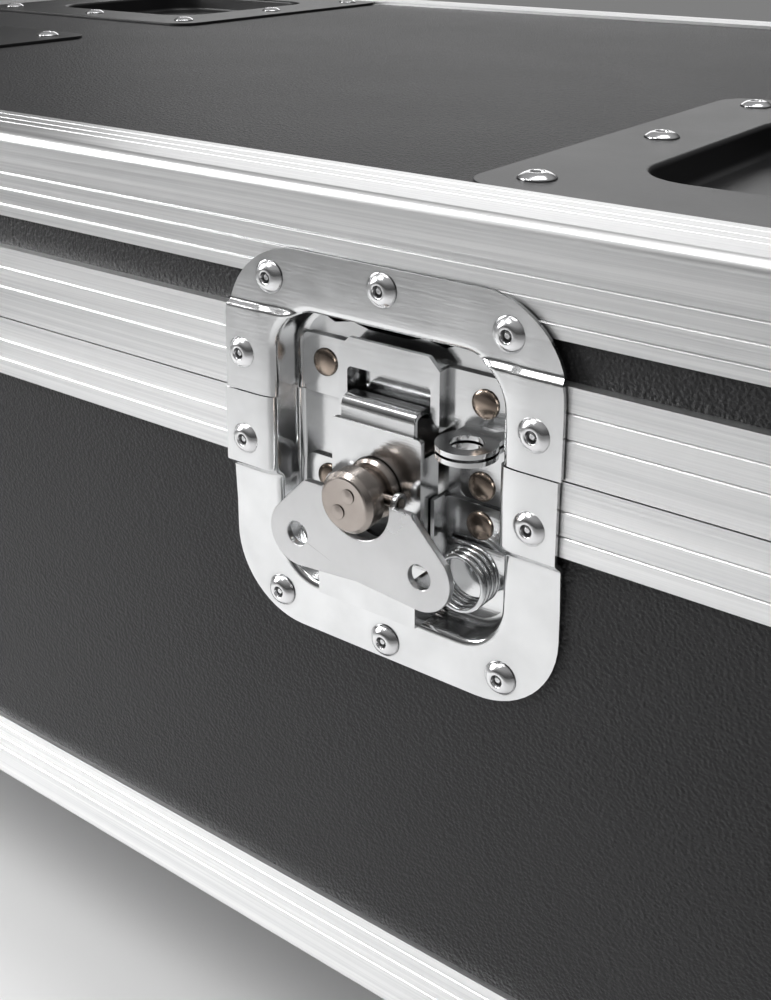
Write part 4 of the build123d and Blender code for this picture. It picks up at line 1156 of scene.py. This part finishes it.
# %% [markdown]
# The heads of one node become one piece, because they never move apart. Silver blind rivets hold
# the plates, and the studs inside the latches have a brownish coat and no hole.

# %% Rivets and studs
HEAD_KINDS = (("latch_rivets_", "rivet_silver", blind_rivet_profile),
              ("small_rivets_", "rivet_silver", blind_rivet_profile),
              ("latch_studs_", "rivet_bronzed", solid_stud_profile))


def rivet_piece(node_name, body, paint_slot, profile_of):
    mesh = bmesh.new()
    sites = [rivet_site(low, high) for low, high in islands(node_name)]
    for foot, direction, radius, height in sites:
        lathe(mesh, profile_of(radius, height), foot, direction)
    finish_mesh(mesh, "turned_" + node_name, body, paint_slot, [node_name])
    return len(sites)


counts = {}
for body, suffix in (("lid", "lid"), ("case", "body")):
    for stem, paint_slot, profile_of in HEAD_KINDS:
        counts[stem + suffix] = rivet_piece(stem + suffix, body, paint_slot, profile_of)
print("rivet heads:", counts)

# %% [markdown]
# The torsion spring beside the key is one wire: a straight leg behind the wing, nearly four
# turns, and a leg along the dish's floor. A curve with a round bevel could draw it, but rings
# laid along the path one by one need no conversion. Each ring is turned to follow the wire, so the
# coil stays round from every side.

# %% Coiled springs
SPRING_AT = (24.5 * MM, -24.5 * MM)
SPRING_R = 7.3 * MM
SPRING_WIRE_R = 0.8 * MM
SPRING_PITCH = 2.1 * MM
SPRING_TURNS = 3.75
SPRING_FRONT = 1.2 * MM
SPRING_LEGS = (7.0 * MM, 8.5 * MM)
STEPS_PER_TURN = 44
WIRE_SIDES = 14


def helix_point(turn):
    """(place, direction) of the wire after so many turns, seen from the latch's centre."""
    angle = 2 * math.pi * turn + math.pi
    place = Vector((SPRING_AT[0] + SPRING_R * math.cos(angle), SPRING_FRONT + SPRING_PITCH * turn,
                    SPRING_AT[1] + SPRING_R * math.sin(angle)))
    along = Vector((-SPRING_R * math.sin(angle), SPRING_PITCH / (2 * math.pi), SPRING_R * math.cos(angle)))
    return place, along.normalized()


def wire_rings(path):
    """Rings of points round a path of (place, direction), each turned as little as possible."""
    side = path[0][1].orthogonal().normalized()
    turns = [2 * math.pi * k / WIRE_SIDES for k in range(WIRE_SIDES)]
    rings = []
    for place, along in path:
        side = (side - along * side.dot(along)).normalized()
        other = along.cross(side)
        rings.append([place + (side * math.cos(t) + other * math.sin(t)) * SPRING_WIRE_R for t in turns])
    return rings


def spring_piece(latch_name, latch_x):
    count = int(SPRING_TURNS * STEPS_PER_TURN)
    path = [helix_point(SPRING_TURNS * step / count) for step in range(count + 1)]
    first, first_along = path[0]
    last, last_along = path[-1]
    path.insert(0, (first - first_along * SPRING_LEGS[0], first_along))
    path.append((last + last_along * SPRING_LEGS[1], last_along))
    mesh = bridge_rings(wire_rings(path))
    start_cap = list(mesh.verts)[:WIRE_SIDES]
    mesh.faces.new(start_cap[::-1])
    mesh.transform(Matrix.Translation((latch_x, FACE_Y, LATCH_Z)))
    bmesh.ops.recalc_face_normals(mesh, faces=mesh.faces)
    return finish_mesh(mesh, "wound_spring_" + latch_name, "case", "spring_wire", ["latch_springs"])


for latch_name, latch_x in LATCH_PLACES.items():
    spring_piece(latch_name, latch_x)
print("springs of", SPRING_TURNS, "turns")

# %% [markdown]
# Inside, soft black foam lines the body and the lid. It is cut from sheet, so each block is
# nearly square, but its edges crush round and its faces swell a little between the glue lines.
# A finely divided block, rounded like a pillow of very low crown, gives that without a
# simulation, because nothing presses on the foam here.

# %% Foam lining
FOAM_EDGE = 4.0 * MM
FOAM_CELL = 14.0 * MM
FOAM_FEWEST_CELLS = 3
FOAM_SWELL = 0.14
FOAM_WAVES = 14
FOAM_SEED_STEP = 3.7


def divided_cube(size):
    """A unit cube cut along each axis into cells of about the foam's cell size."""
    mesh = bmesh.new()
    bmesh.ops.create_cube(mesh, size=1.0)
    for axis in range(3):
        cuts = max(int(size[axis] / FOAM_CELL), FOAM_FEWEST_CELLS)
        direction = Vector((0, 0, 0))
        direction[axis] = 1
        for step in range(1, cuts):
            place = direction * (step / cuts - 0.5)
            geometry = list(mesh.verts) + list(mesh.edges) + list(mesh.faces)
            bmesh.ops.bisect_plane(mesh, geom=geometry, plane_co=place, plane_no=direction)
    return mesh


def foam_block(name, low, high, body, node_name, seed):
    """A block with rounded edges and a shallow uneven crown, inside its own box."""
    size = high - low
    middle = (low + high) / 2
    core = size / 2 - Vector((FOAM_EDGE, FOAM_EDGE, FOAM_EDGE))
    mesh = divided_cube(size)
    for vert in mesh.verts:
        point = Vector([vert.co[i] * size[i] for i in range(3)])
        inner = Vector([max(min(point[i], core[i]), -core[i]) for i in range(3)])
        wave = noise.noise((point + Vector((seed, 0, 0))) * FOAM_WAVES)
        out = (point - inner).normalized() * FOAM_EDGE * (1 - FOAM_SWELL + FOAM_SWELL * wave)
        vert.co = middle + inner + out
    piece = finish_mesh(mesh, name, body, "foam", [node_name])
    return piece


foam_count = 0
for node_name, body in (("body_foam", "case"), ("lid_foam", "lid")):
    for index, (low, high) in enumerate(islands(node_name)):
        foam_block(f"{node_name}_block_{index + 1}", low, high, body, node_name, index * FOAM_SEED_STEP)
        foam_count += 1
print("foam blocks:", foam_count)

# %% [markdown]
# The grip of each handle is moulded on its rod, with shallow ribs for the fingers and rounded
# ends. It is a lathe form again, turned about the rod.

# %% Handle grips
GRIP_RIBS = 14
RIB_DEEP = 0.35 * MM
RIB_STEPS = 8
RIBS_INSET = 4 * MM
GRIP_END = ((1.6 * MM, 0.0), (0.5 * MM, 0.5 * MM), (0.0, 1.8 * MM))


def grip_profile(radius, length):
    """(radius, height) points: bore, rounded end, ribs, rounded end, bore."""
    profile = [(BAIL_R, 0.0)] + [(radius - inset, rise) for inset, rise in GRIP_END]
    steps = GRIP_RIBS * RIB_STEPS
    for step in range(steps + 1):
        share = step / steps
        dip = RIB_DEEP * (0.5 - 0.5 * math.cos(2 * math.pi * GRIP_RIBS * share))
        profile.append((radius - dip, RIBS_INSET + (length - 2 * RIBS_INSET) * share))
    profile += [(radius - inset, length - rise) for inset, rise in GRIP_END[::-1]]
    return profile + [(BAIL_R, length)]


def grip_piece(side_name):
    node_name = "handle_sleeve_" + side_name
    low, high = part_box(node_name)
    foot = Vector(((low.x + high.x) / 2, low.y, (low.z + high.z) / 2))
    mesh = bmesh.new()
    lathe(mesh, grip_profile((high.x - low.x) / 2, high.y - low.y), foot, Vector((0, 1, 0)))
    return finish_mesh(mesh, "ribbed_" + node_name, "handle_" + side_name, "grip_rubber", [node_name])


for side_name, sign in HANDLE_SIDES:
    grip_piece(side_name)
print("grips with", GRIP_RIBS, "ribs")
